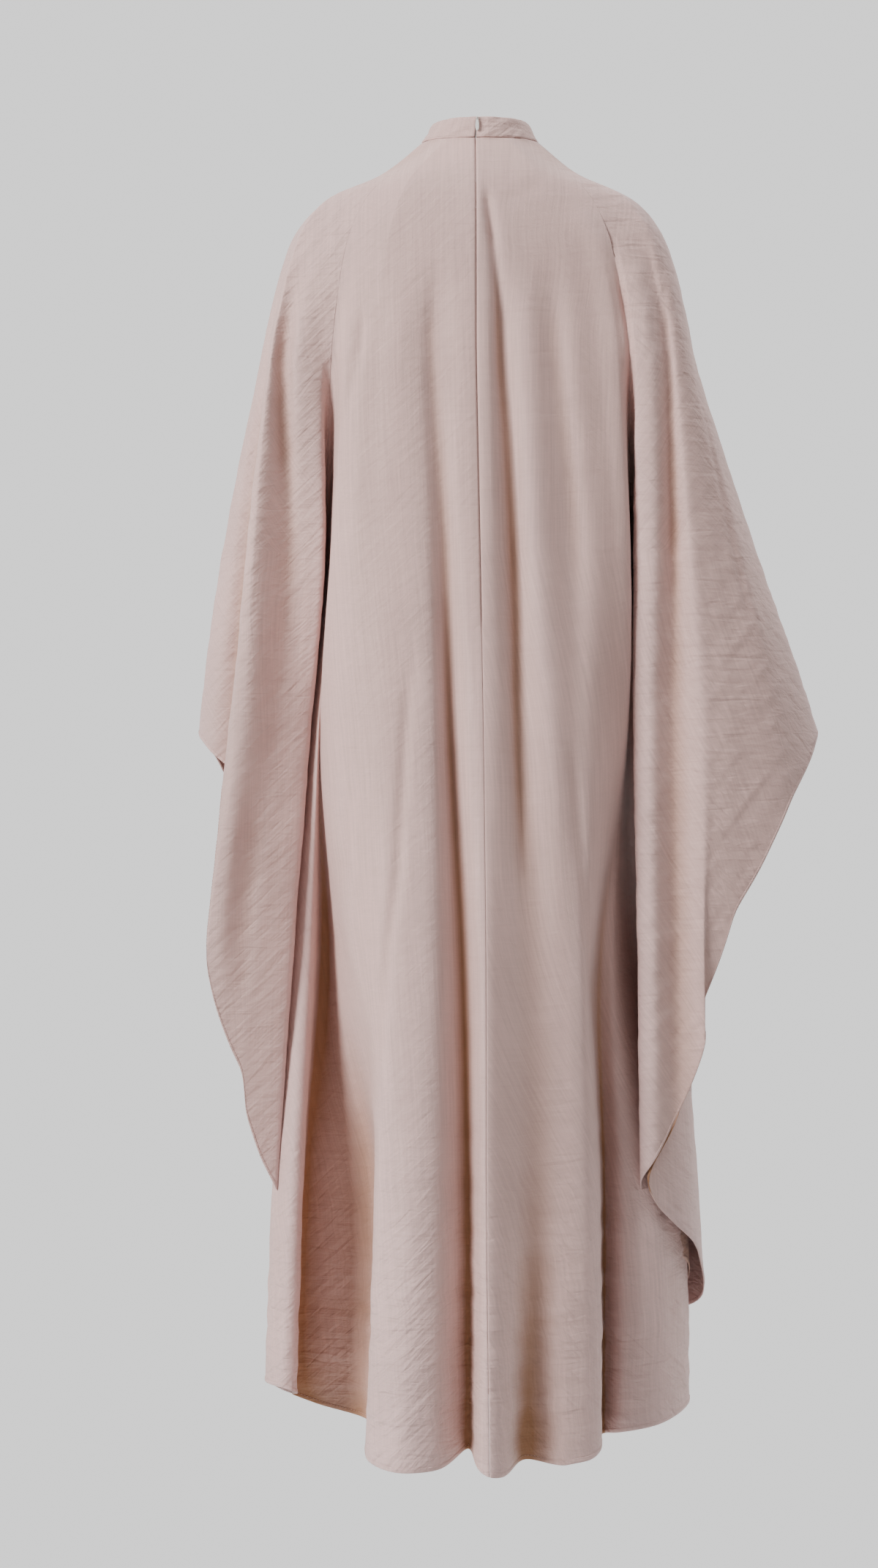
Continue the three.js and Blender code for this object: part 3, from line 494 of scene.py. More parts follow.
class DrapedShape:
    """The form of the worn garment: every fold line joined into loops round body and sleeves."""

    def __init__(self) -> None:
        """Builds the loops."""
        self.names: list[str] = []
        folds: list[Fold] = []
        groups = (
            ("", (ZIP_LINE,)),
            ("back_left_", BACK_LEFT_FOLDS),
            ("", (RECESS_BACK_LEFT,)),
            ("sleeve_back_left_", SLEEVE_BACK_LEFT),
            ("", (WRIST_LEFT,)),
            ("sleeve_front_left_", SLEEVE_FRONT_LEFT),
            ("", (RECESS_FRONT_LEFT,)),
            ("front_", FRONT_FOLDS),
            ("", (RECESS_FRONT_RIGHT,)),
            ("sleeve_front_right_", SLEEVE_FRONT_RIGHT),
            ("", (WRIST_RIGHT,)),
            ("sleeve_back_right_", SLEEVE_BACK_RIGHT[::-1]),
            ("", (RECESS_BACK_RIGHT,)),
            ("back_right_", BACK_RIGHT_FOLDS[::-1]),
            ("", (ZIP_LINE,)),
        )
        for prefix, members in groups:
            for fold in members:
                self.names.append(prefix + fold.name)
                folds.append(fold)
        self.last = len(folds) - 1
        angles = self._neck_angles(folds)
        lines = [self._line(fold, angle) for fold, angle in zip(folds, angles)]
        recesses = (RECESS_BACK_LEFT, RECESS_BACK_RIGHT)
        sides = [self._seam_line(*pair) for pair in zip((SIDE_LEFT, SIDE_RIGHT), recesses)]
        arms = [self._seam_line(*pair) for pair in zip((UNDERARM_LEFT, UNDERARM_RIGHT), recesses)]
        back_l, front_l, front_r, back_r = self.recesses()
        body = [*lines[:back_l], sides[0], *lines[front_l + 1 : front_r], sides[1], *lines[back_r + 1 :]]
        self.side_left_at = back_l
        self.side_right_at = back_l + front_r - front_l
        self.whole = Loop(lines)
        self.body = Loop(body)
        self.left = Loop([arms[0], *lines[back_l + 1 : front_l], arms[0]])
        self.right = Loop([arms[1], *lines[front_r + 1 : back_r], arms[1]])

    def at(self, name: str) -> int:
        """Returns the number of the named line in the whole loop."""
        return self.names.index(name)

    def recesses(self) -> list[int]:
        """Returns the numbers of the lines where body and sleeves part: back, front, front, back."""
        return [self.at(f"recess_{n}") for n in ("back_left", "front_left", "front_right", "back_right")]

    def _neck_angles(self, folds: Sequence[Fold]) -> np.ndarray:
        """Spreads the lines round the neck in step with their distance round the chest.

        Args:
            folds: Every line of the whole loop.

        Returns:
            The angle of each line.
        """
        travelled = distances(np.array([[fold.x[0], fold.y[0]] for fold in folds], float))
        stops = [0, self.at("wrist_left"), self.at("front_centre_crest"), self.at("wrist_right"), self.last]
        degrees = [ZIP_ANGLE, 90, 176, 270, 360 + ZIP_ANGLE]
        return np.interp(travelled, travelled[stops], degrees)

    def _line(self, fold: Fold, degrees: float) -> Line:
        """Joins a fold to its yoke, from the neck seam to chest height.

        Args:
            fold: The fold.
            degrees: Its angle round the neck.

        Returns:
            The line.
        """
        neck = NECK_RING.point(np.array(degrees))
        sections = section_points(fold, 0)
        if len(sections) < len(SECTION_HEIGHTS):
            filler = np.repeat(sections[-1:], len(SECTION_HEIGHTS) - len(sections), axis=0)
            sections = np.concatenate([sections, filler])
        chest = sections[0]
        sideways = min(abs(chest[0]) / ARM_REACH, 1) ** 2
        yoke = []
        for ridge_reach, ridge_height, *faces in YOKE_ROWS:
            near_reach, near_height = faces[:2] if chest[1] < 0 else faces[2:]
            reach = near_reach + (ridge_reach - near_reach) * sideways
            height = near_height + (ridge_height - near_height) * sideways
            point = neck + (chest - neck) * reach
            point[2] = neck[2] if reach == 0 else height
            yoke.append(point)
        return Line(np.concatenate([np.array(yoke), sections]), fold.end)

    @staticmethod
    def _seam_line(seam: Fold, recess: Fold) -> Line:
        """The line of a seam that starts at the underarm.

        Args:
            seam: The seam below the underarm.
            recess: The line where body and sleeve part above it.

        Returns:
            The line.
        """
        start = np.array([recess.x[1], 0, SECTION_HEIGHTS[1]])
        above = np.repeat(start[None], SPLIT_ROW + 1, axis=0)
        return Line(np.concatenate([above, section_points(seam, 2)]), seam.end)


# ---------------------------------------------------------------- the welded net of cloth
@dataclass
class Patch:
    """A grid of the net's vertices, from the top down and from one line to another.

    Args:
        ids: Vertex numbers, rows by columns.
        across: Place of each column round its loop, counted in lines.
    """

    ids: np.ndarray
    across: np.ndarray


@dataclass
class ClothNet:
    """All the cloth below the neck seam as one welded net of vertices.

    Args:
        shape: The form it follows.
        back_pitch: Distance between columns on the back.
        front_pitch: Distance between columns on the front.
        edge_pitch: Distance between columns along a steep hem.
        row_pitch: Distance between rows.
        low_fade: Height at which the hem's crinkles start to fade, and over which they do.
        fold_rounds: Rounds of averaging from which the depth of a fold is measured.
        patches: The grids by name.
        column: The column of the upper grid that each line lies on.
        zone: The tube that each column of the upper grid belongs to.
        points: Every vertex in millimetres.
        normals: The outward direction at each vertex.
        fold_depth: How far each vertex stands out from the cloth round it.
        crumple: Strength of the small crinkles at each vertex.
    """

    shape: DrapedShape
    back_pitch: float = 4.6
    front_pitch: float = 7.0
    edge_pitch: float = 7.0
    row_pitch: float = 7.2
    low_fade: tuple[float, float] = (60.0, 420.0)
    fold_rounds: int = 120
    patches: dict[str, Patch] = field(default_factory=dict)
    column: dict[int, int] = field(default_factory=dict)
    zone: np.ndarray = field(init=False)
    points: np.ndarray = field(init=False)
    normals: np.ndarray = field(init=False)
    fold_depth: np.ndarray = field(init=False)
    crumple: np.ndarray = field(init=False)

    def build(self) -> None:
        """Lays the net on the shape, then smooths, creases and crinkles it."""
        self._lay()
        self._pair_up()
        self._ease_yoke()
        self._smooth(3)
        self._crease()
        self._smooth(1)
        self._crinkle()
        self.normals = self._vertex_normals()
        self.fold_depth = self._fold_depth()

    def _branches(self) -> dict[str, tuple[Loop, int, int, int, Zone]]:
        """Returns each part below the underarm: loop, first and last line, own first line, tube."""
        s = self.shape
        bl, fl, fr, br = s.recesses()
        return {
            "body_back_left": (s.body, 0, bl, 0, Zone.BODY),
            "body_front": (s.body, fl, fr, s.side_left_at, Zone.BODY),
            "body_back_right": (s.body, br, s.last, s.side_right_at, Zone.BODY),
            "sleeve_left": (s.left, bl, fl, 0, Zone.LEFT),
            "sleeve_right": (s.right, fr, br, 0, Zone.RIGHT),
        }

    def _columns(self) -> np.ndarray:
        """Returns the places of the columns round the whole loop, even along the cloth."""
        s = self.shape
        fine = np.linspace(0, 1, 9)
        measured_rows, measured_shares, longest = (3.0, 4.5, 6.0, 6.9), (0.35, 0.7, 1.0), 0.8
        places: list[np.ndarray] = []
        wl, wr = s.at("wrist_left"), s.at("wrist_right")
        seams = {0, wl, wr, s.last, *s.recesses()}
        yoke_rows = [np.full_like(fine, row) for row in measured_rows]
        for line in range(s.last):
            lengths = [self._length(s.whole.point(line + fine, rows)) for rows in yoke_rows]
            for loop, first, last, own, zone in self._branches().values():
                if not first <= line < last:
                    continue
                across = own + line - first + fine
                for share in measured_shares:
                    rows = loop.row_at_edge_share(across, np.full_like(fine, share))
                    length = self._length(loop.point(across, rows))
                    if share == 1.0 and zone is not Zone.BODY:
                        length *= self.back_pitch / self.edge_pitch
                    lengths.append(length)
            pitch = self.front_pitch if wl <= line < wr else self.back_pitch
            count = max(2, math.ceil(np.quantile(lengths, longest) / pitch))
            if line in seams or line + 1 in seams:
                count += 2
            places.append(line + np.arange(count) / count)
        return np.concatenate([*places, [s.last]])

    @staticmethod
    def _length(points: np.ndarray) -> float:
        """Returns the length of a chain of points."""
        return float(np.linalg.norm(np.diff(points, axis=0), axis=1).sum())

    def _upper_rows(self) -> np.ndarray:
        """Returns row places from the neck seam to the underarm, even down the cloth."""
        control = self.shape.whole.points[:, : SPLIT_ROW + 1]
        steps = np.linalg.norm(np.diff(control, axis=1), axis=2).mean(axis=0)
        travelled = np.concatenate([[0], np.cumsum(steps)])
        count = math.ceil(travelled[-1] / self.row_pitch)
        rows = np.interp(np.linspace(0, travelled[-1], count + 1), travelled, np.arange(SPLIT_ROW + 1))
        return np.insert(rows, 1, rows[1] * np.array([0.12, 0.4]))

    def _lay(self) -> None:
        """Sets out the grids and welds them where the tubes and seams meet."""
        s = self.shape
        across = self._columns()
        rows = self._upper_rows()
        grid_across, grid_rows = np.meshgrid(across, rows)
        positions = [s.whole.point(grid_across.ravel(), grid_rows.ravel())]
        ids = np.arange(grid_across.size).reshape(grid_across.shape)
        column = {line: int(np.argmin(np.abs(across - line))) for line in range(s.last + 1)}
        self.column = column
        ids[:, -1] = ids[:, 0]
        back_l, front_l, front_r, back_r = (column[line] for line in s.recesses())
        ids[-1, front_l] = ids[-1, back_l]
        ids[-1, front_r] = ids[-1, back_r]
        self.zone = np.full(across.shape, Zone.BODY, dtype=object)
        used = grid_across.size
        for name, (loop, first, last, own, tube) in self._branches().items():
            span = slice(column[first], column[last] + 1)
            if tube is not Zone.BODY:
                self.zone[span] = tube
            places = own + across[span] - first
            length = SECTION_HEIGHTS[1] - (0 if tube is Zone.BODY else loop.ends.min())
            count = math.ceil(length / self.row_pitch)
            share = np.linspace(0, 1, count + 1)[1:]
            share = share + 0.03 * np.sin(math.pi * share)
            a, b = np.meshgrid(places, share)
            down = loop.row_at_edge_share(a.ravel(), b.ravel())
            positions.append(loop.point(a.ravel(), down))
            block = used + np.arange(a.size).reshape(a.shape)
            used += a.size
            self.patches[name] = Patch(np.concatenate([ids[-1:, span], block]), places)
        self.patches["upper"] = Patch(ids, across)
        left, front, right = (self.patches[f"body_{n}"].ids for n in ("back_left", "front", "back_right"))
        front[1:, 0] = left[1:, -1]
        right[1:, 0] = front[1:, -1]
        right[1:, -1] = left[1:, 0]
        for name in ("sleeve_left", "sleeve_right"):
            sleeve = self.patches[name].ids
            sleeve[1:, -1] = sleeve[1:, 0]
        self.points = np.concatenate(positions)

    def quads(self) -> np.ndarray:
        """Returns the corners of every cell of the net, outward side up."""
        return np.concatenate([grid_quads(patch.ids) for patch in self.patches.values()])

    def _pair_up(self) -> None:
        """Lists each vertex's neighbours for smoothing; a hem is only smoothed along itself."""
        quads = self.quads()
        edges = np.concatenate([quads[:, [0, 1]], quads[:, [1, 2]], quads[:, [3, 2]], quads[:, [0, 3]]])
        pairs = np.unique(np.concatenate([edges, edges[:, ::-1]]), axis=0)
        hem = np.zeros(len(self.points), bool)
        for name, patch in self.patches.items():
            if name != "upper":
                hem[patch.ids[-1]] = True
        neck = np.zeros(len(self.points), bool)
        neck[self.patches["upper"].ids[0]] = True
        keep = ~neck[pairs[:, 0]] & ~(hem[pairs[:, 0]] & ~hem[pairs[:, 1]])
        self._pairs = pairs[keep]
        self._count = np.maximum(np.bincount(self._pairs[:, 0], minlength=len(self.points)), 1)
        self._fixed = np.bincount(self._pairs[:, 0], minlength=len(self.points)) == 0

    def _averaged(self, values: np.ndarray) -> np.ndarray:
        """Means over neighbours.

        Args:
            values: A row of numbers for each vertex.

        Returns:
            For each vertex, the mean of its neighbours' rows.
        """
        here, there = self._pairs[:, 0], self._pairs[:, 1]
        size = len(self.points)
        sums = [np.bincount(here, values[there, k], minlength=size) for k in range(values.shape[1])]
        mean = np.stack(sums, axis=-1) / self._count[:, None]
        mean[self._fixed] = values[self._fixed]
        return mean

    def _smooth(self, rounds: int) -> None:
        """Moves every vertex half way to its neighbours' mean, a number of times."""
        for _ in range(rounds):
            self.points += 0.5 * (self._averaged(self.points) - self.points)

    def _ease_yoke(self) -> None:
        """Lets the valleys between body and sleeves die out over the shoulders."""
        s = self.shape
        upper = self.patches["upper"]
        spans = (
            # First line, last line, height where the easing starts, height over which it grows.
            (0, "back_left_main_ridge", 1215, 110),
            ("back_right_third_crest", s.last, 1215, 110),
            ("back_left_main_ridge", "sleeve_back_left_outer_crest", 1185, 135),
            ("sleeve_front_left_front_outer_crest", "front_left_crest", 1190, 120),
            ("front_right_crest", "sleeve_front_right_wrap_face", 1190, 120),
            ("sleeve_back_right_middle_crest", "back_right_third_crest", 1250, 90),
        )
        wrap = upper.ids.shape[1] - 1
        reach = 6
        for first, last, low, fade in spans:
            lines = [line if isinstance(line, int) else s.at(line) for line in (first, last)]
            start, stop = (self.column[line] for line in lines)
            inside = self.points[upper.ids[:, start : stop + 1]]
            travelled = distances(inside, 1)
            stations = (start - reach, start, stop, stop + reach)
            ends = [self.points[upper.ids[:, column % wrap]][:, None] for column in stations]
            eased = bridge(ends, travelled / travelled[:, -1:])
            weight = soft_step((inside[..., 2] - low) / fade)[..., None]
            weight[:2] = 0
            self.points[upper.ids[:, start : stop + 1]] = inside + weight * (eased - inside)

    def _vertex_normals(self) -> np.ndarray:
        """Returns the outward normal at each vertex."""
        quads = self.quads()
        p = self.points
        across = p[quads[:, 2]] - p[quads[:, 0]]
        other = p[quads[:, 3]] - p[quads[:, 1]]
        face = np.cross(across, other)
        normals = np.zeros_like(p)
        for corner in range(4):
            for axis in range(3):
                normals[:, axis] += np.bincount(quads[:, corner], face[:, axis], minlength=len(p))
        length = np.linalg.norm(normals, axis=1, keepdims=True)
        return normals / np.maximum(length, 1e-9)

    def members(self, zone: Zone, face: Face) -> np.ndarray:
        """The vertices on one side of a tube.

        Args:
            zone: The tube.
            face: The side.

        Returns:
            True for each vertex that belongs to it.
        """
        mask = np.zeros(len(self.points), bool)
        s = self.shape
        upper = self.patches["upper"]
        wl, wr = s.at("wrist_left"), s.at("wrist_right")
        front = (upper.across >= wl) & (upper.across <= wr)
        chosen = front if face is Face.FRONT else ~front | (upper.across == wl) | (upper.across == wr)
        columns = chosen & (self.zone == zone)
        mask[upper.ids[:, columns]] = True
        if zone is Zone.BODY:
            names = ["body_front"] if face is Face.FRONT else ["body_back_left", "body_back_right"]
            for name in names:
                mask[self.patches[name].ids] = True
            return mask
        left = zone is Zone.LEFT
        patch = self.patches["sleeve_left" if left else "sleeve_right"]
        wrist = wl - s.at("recess_back_left") if left else wr - s.at("recess_front_right")
        below = patch.across <= wrist if left == (face is Face.BACK) else patch.across >= wrist
        mask[patch.ids[:, below]] = True
        return mask

    def _crease(self) -> None:
        """Presses every listed crease into the net."""
        normals = self._vertex_normals()
        shift = np.zeros(len(self.points))
        for crease in CREASES:
            chosen = np.flatnonzero(self.members(crease.zone, crease.face))
            place = self.points[chosen][:, [0, 2]]
            shift[chosen] += crease_profile(crease, place)
        self.points += normals * shift[:, None]

    def _crinkle(self) -> None:
        """Adds small uneven waves: across the cloth near the hem, slanting on the sleeves."""
        normals = self._vertex_normals()
        x, y, h = self.points.T
        around = np.where(np.abs(y) > 60, x, x + np.sign(x) * y)
        low = 1 - soft_step((h - self.low_fade[0]) / self.low_fade[1])
        body = wavy_noise(around + 0.35 * h, h, (70, 17), 11) * (0.2 + 0.8 * low)
        body += 0.6 * wavy_noise(around - 0.2 * h, h, (38, 11), 12) * low
        sleeves = 0.8 * wavy_noise(h + 1.1 * x, h - 0.9 * x, (80, 18), 13)
        sleeves += 0.6 * wavy_noise(h + 0.6 * x, h - 1.3 * x, (50, 11), 14)
        on_sleeve = np.any([self.members(z, f) for z in (Zone.LEFT, Zone.RIGHT) for f in Face], axis=0)
        near_neck = soft_step((NECK_HEIGHT - 25 - h) / 120)
        self.crumple = np.where(on_sleeve, 0.75 + 0.25 * low, 0.25 + 0.75 * low)
        size = np.where(on_sleeve, 0.6 * sleeves, body) * near_neck
        self.points += normals * size[:, None]

    def _fold_depth(self) -> np.ndarray:
        """Returns how far each vertex lies outside (+) or inside (-) the cloth round it."""
        smooth = self.points.copy()
        for _ in range(self.fold_rounds):
            smooth = 0.1 * smooth + 0.9 * self._averaged(smooth)
        return np.einsum("ij,ij->i", self.points - smooth, self.normals)


def crease_profile(crease: Crease, place: np.ndarray) -> np.ndarray:
    """How far a crease moves each place.

    Args:
        crease: The crease.
        place: Sideways place and height of each vertex.

    Returns:
        The outward movement of each vertex.
    """
    path = np.array(crease.path, float)
    starts = distances(path)
    nearest = np.full(len(place), np.inf)
    along = np.zeros(len(place))
    for a, b, start in zip(path[:-1], path[1:], starts):
        length = np.linalg.norm(b - a)
        t = np.clip(((place - a) @ (b - a)) / length**2, 0, 1)
        distance = np.linalg.norm(place - (a + t[:, None] * (b - a)), axis=1)
        closer = distance < nearest
        nearest = np.where(closer, distance, nearest)
        along = np.where(closer, start + t * length, along)
    share = along / starts[-1]
    fade = soft_step(share / crease.taper) * soft_step((1 - share) / crease.taper)
    return crease.depth * np.exp(-((nearest / crease.width) ** 2)) * fade


def grid_quads(ids: np.ndarray) -> np.ndarray:
    """Returns the four corners of each cell of a grid of vertex numbers."""
    corners = (ids[:-1, :-1], ids[:-1, 1:], ids[1:, 1:], ids[1:, :-1])
    return np.stack(corners, axis=-1).reshape(-1, 4)


def tube_faces(ids: np.ndarray) -> list[list[int]]:
    """The faces of a closed tube.

    Args:
        ids: Vertex numbers, a row for each ring round the tube.

    Returns:
        The vertex numbers of its sides and of its two ends.
    """
    a, b = ids[:-1], ids[1:]
    sides = np.stack([a, b, np.roll(b, -1, axis=1), np.roll(a, -1, axis=1)], axis=-1)
    return [*sides.reshape(-1, 4).tolist(), ids[0].tolist(), ids[-1, ::-1].tolist()]


# ---------------------------------------------------------------- meshes
def to_metres(points: np.ndarray) -> np.ndarray:
    """Returns points in metres with the origin at the neck."""
    return (points - np.array([0.0, 0.0, NECK_HEIGHT])) * MM


def link_object(name: str, data: bpy.types.ID) -> bpy.types.Object:
    """Makes an object at the origin and links it to the scene.

    Args:
        name: Its name.
        data: Its mesh, curve, camera or light.

    Returns:
        The object.
    """
    obj = bpy.data.objects.new(name, data)
    bpy.context.scene.collection.objects.link(obj)
    return obj


def smooth_object(name: str, mesh: bpy.types.Mesh) -> bpy.types.Object:
    """Shades a mesh smooth, reports it and puts it in the scene.

    Args:
        name: The name of mesh and object.
        mesh: The mesh.

    Returns:
        The object.
    """
    mesh.name = name
    mesh.polygons.foreach_set("use_smooth", np.ones(len(mesh.polygons), bool))
    log.info("%s: %d triangles", name, sum(polygon.loop_total - 2 for polygon in mesh.polygons))
    return link_object(name, mesh)


def baked(holder: bpy.types.Object) -> bpy.types.Mesh:
    """Works out the curves and nodes of an object and removes it.

    Args:
        holder: The object.

    Returns:
        The plain mesh.
    """
    graph = bpy.context.evaluated_depsgraph_get()
    mesh = bpy.data.meshes.new_from_object(holder.evaluated_get(graph))
    bpy.data.objects.remove(holder)
    return mesh


def make_object(
    name: str,
    points: np.ndarray,
    faces: np.ndarray | Sequence[Sequence[int]],
    uv: np.ndarray | None = None,
    values: dict[str, np.ndarray] | None = None,
) -> bpy.types.Object:
    """Makes a smooth-shaded mesh object at the origin.

    Args:
        name: Its name.
        points: Vertices in metres.
        faces: Vertex numbers of each face, outward side up, as an array or a list of lists.
        uv: Optional place on the flat cloth for each vertex, in metres.
        values: Optional named number for each vertex.

    Returns:
        The object, linked to the scene.
    """
    mesh = bpy.data.meshes.new(name)
    mesh.from_pydata(points.tolist(), [], faces.tolist() if isinstance(faces, np.ndarray) else faces)
    mesh.validate()
    mesh.update()
    if uv is not None:
        corners = np.zeros(len(mesh.loops), dtype=np.int32)
        mesh.loops.foreach_get("vertex_index", corners)
        layer = mesh.uv_layers.new(name="cloth")
        layer.data.foreach_set("uv", uv[corners].ravel())
    for key, numbers in (values or {}).items():
        attribute = mesh.attributes.new(key, "FLOAT", "POINT")
        attribute.data.foreach_set("value", np.asarray(numbers, np.float32))
    return smooth_object(name, mesh)


def shell_faces(quads: np.ndarray, count: int) -> np.ndarray:
    """Closes a sheet into a shell.

    Args:
        quads: Faces of the outer side; the inner side's vertices follow, in the same order.
        count: Number of vertices on the outer side.

    Returns:
        Faces of the outer side, the inner side and the rim.
    """
    edges = np.concatenate([quads[:, [0, 1]], quads[:, [1, 2]], quads[:, [2, 3]], quads[:, [3, 0]]])
    key = edges[:, 0].astype(np.int64) * count + edges[:, 1]
    reverse = edges[:, 1].astype(np.int64) * count + edges[:, 0]
    rim = edges[~np.isin(key, reverse)]
    rims = np.stack([rim[:, 1], rim[:, 0], rim[:, 0] + count, rim[:, 1] + count], axis=-1)
    return np.concatenate([quads, quads[:, ::-1] + count, rims])


@dataclass(frozen=True)
class SeamRoll:
    """How a panel's edge turns in at a seam.

    Args:
        gap: Distance of the edge from the seam's middle.
        places: Distances of the first columns from the seam.
        turn_in: How far each of them lies behind the face.
    """

    gap: float
    places: tuple[float, ...] = (1.1, 2.9)
    turn_in: tuple[float, ...] = (1.0, 0.35, 0.02)


@dataclass(frozen=True)
class HemFold:
    """The narrow double-turned hem.

    Args:
        width: Height of the hem.
        swell: How far it stands out from the cloth.
        pucker: Share by which the swell varies.
        pucker_length: Length of one pucker along the hem.
        stitch_rise: Height of its stitching.
        stitch_proud: How far the stitching stands out from the hem.
    """

    width: float = 5.0
    swell: float = 0.42
    pucker: float = 0.35
    pucker_length: float = 5.5
    stitch_rise: float = 4.1
    stitch_proud: float = 0.08

    def section(
        self, edge: np.ndarray, middle: np.ndarray, top: np.ndarray
    ) -> list[tuple[np.ndarray, float, float]]:
        """The closed cross-section.

        Args:
            edge: Points on the cloth's lower edge.
            middle: Points half way up the hem.
            top: Points at the hem's top.

        Returns:
            For each corner: its base points, the drop below them and the distance outwards.
        """
        inner = CLOTH_WALL + self.swell
        return [
            (top, 0.0, -0.25),
            (top, 0.45, self.swell * 0.75),
            (middle, 0.0, self.swell),
            (edge, -0.8, self.swell * 0.9),
            (edge, 0.15, self.swell * 0.3),
            (edge, 0.4, -0.4),
            (edge, 0.15, -CLOTH_WALL),
            (edge, -0.8, -inner),
            (middle, 0.0, -inner),
            (top, 0.45, -inner * 0.9),
            (top, 0.0, -CLOTH_WALL + 0.25),
        ]


# Number of columns or rows that a seam or a hem reaches.
NEAR_EDGE = 6
# How far the first rows below the neck seam lie behind the face.
NECK_TURN = (0.9, 0.4)
# Height above the zip's end, and the height over which its slit closes.
ZIP_CLOSING = (4.0, 14.0)
HEM = HemFold()
PLAIN_SEAM = SeamRoll(0.1, turn_in=(0.5, 0.14, 0.0))
ZIP_SEAM = SeamRoll(0.35, (1.0, 2.6), (1.8, 0.55, 0.05))


@dataclass(frozen=True)
class PanelPart:
    """One grid of a panel.

    Args:
        patch: Name of the net's grid.
        first: Its first column in the panel.
        last: Its last column in the panel.
        seam_first: How the first column turns in, or None where there is no seam.
        seam_last: The same for the last column.
    """

    patch: str
    first: int
    last: int
    seam_first: SeamRoll | None = PLAIN_SEAM
    seam_last: SeamRoll | None = PLAIN_SEAM


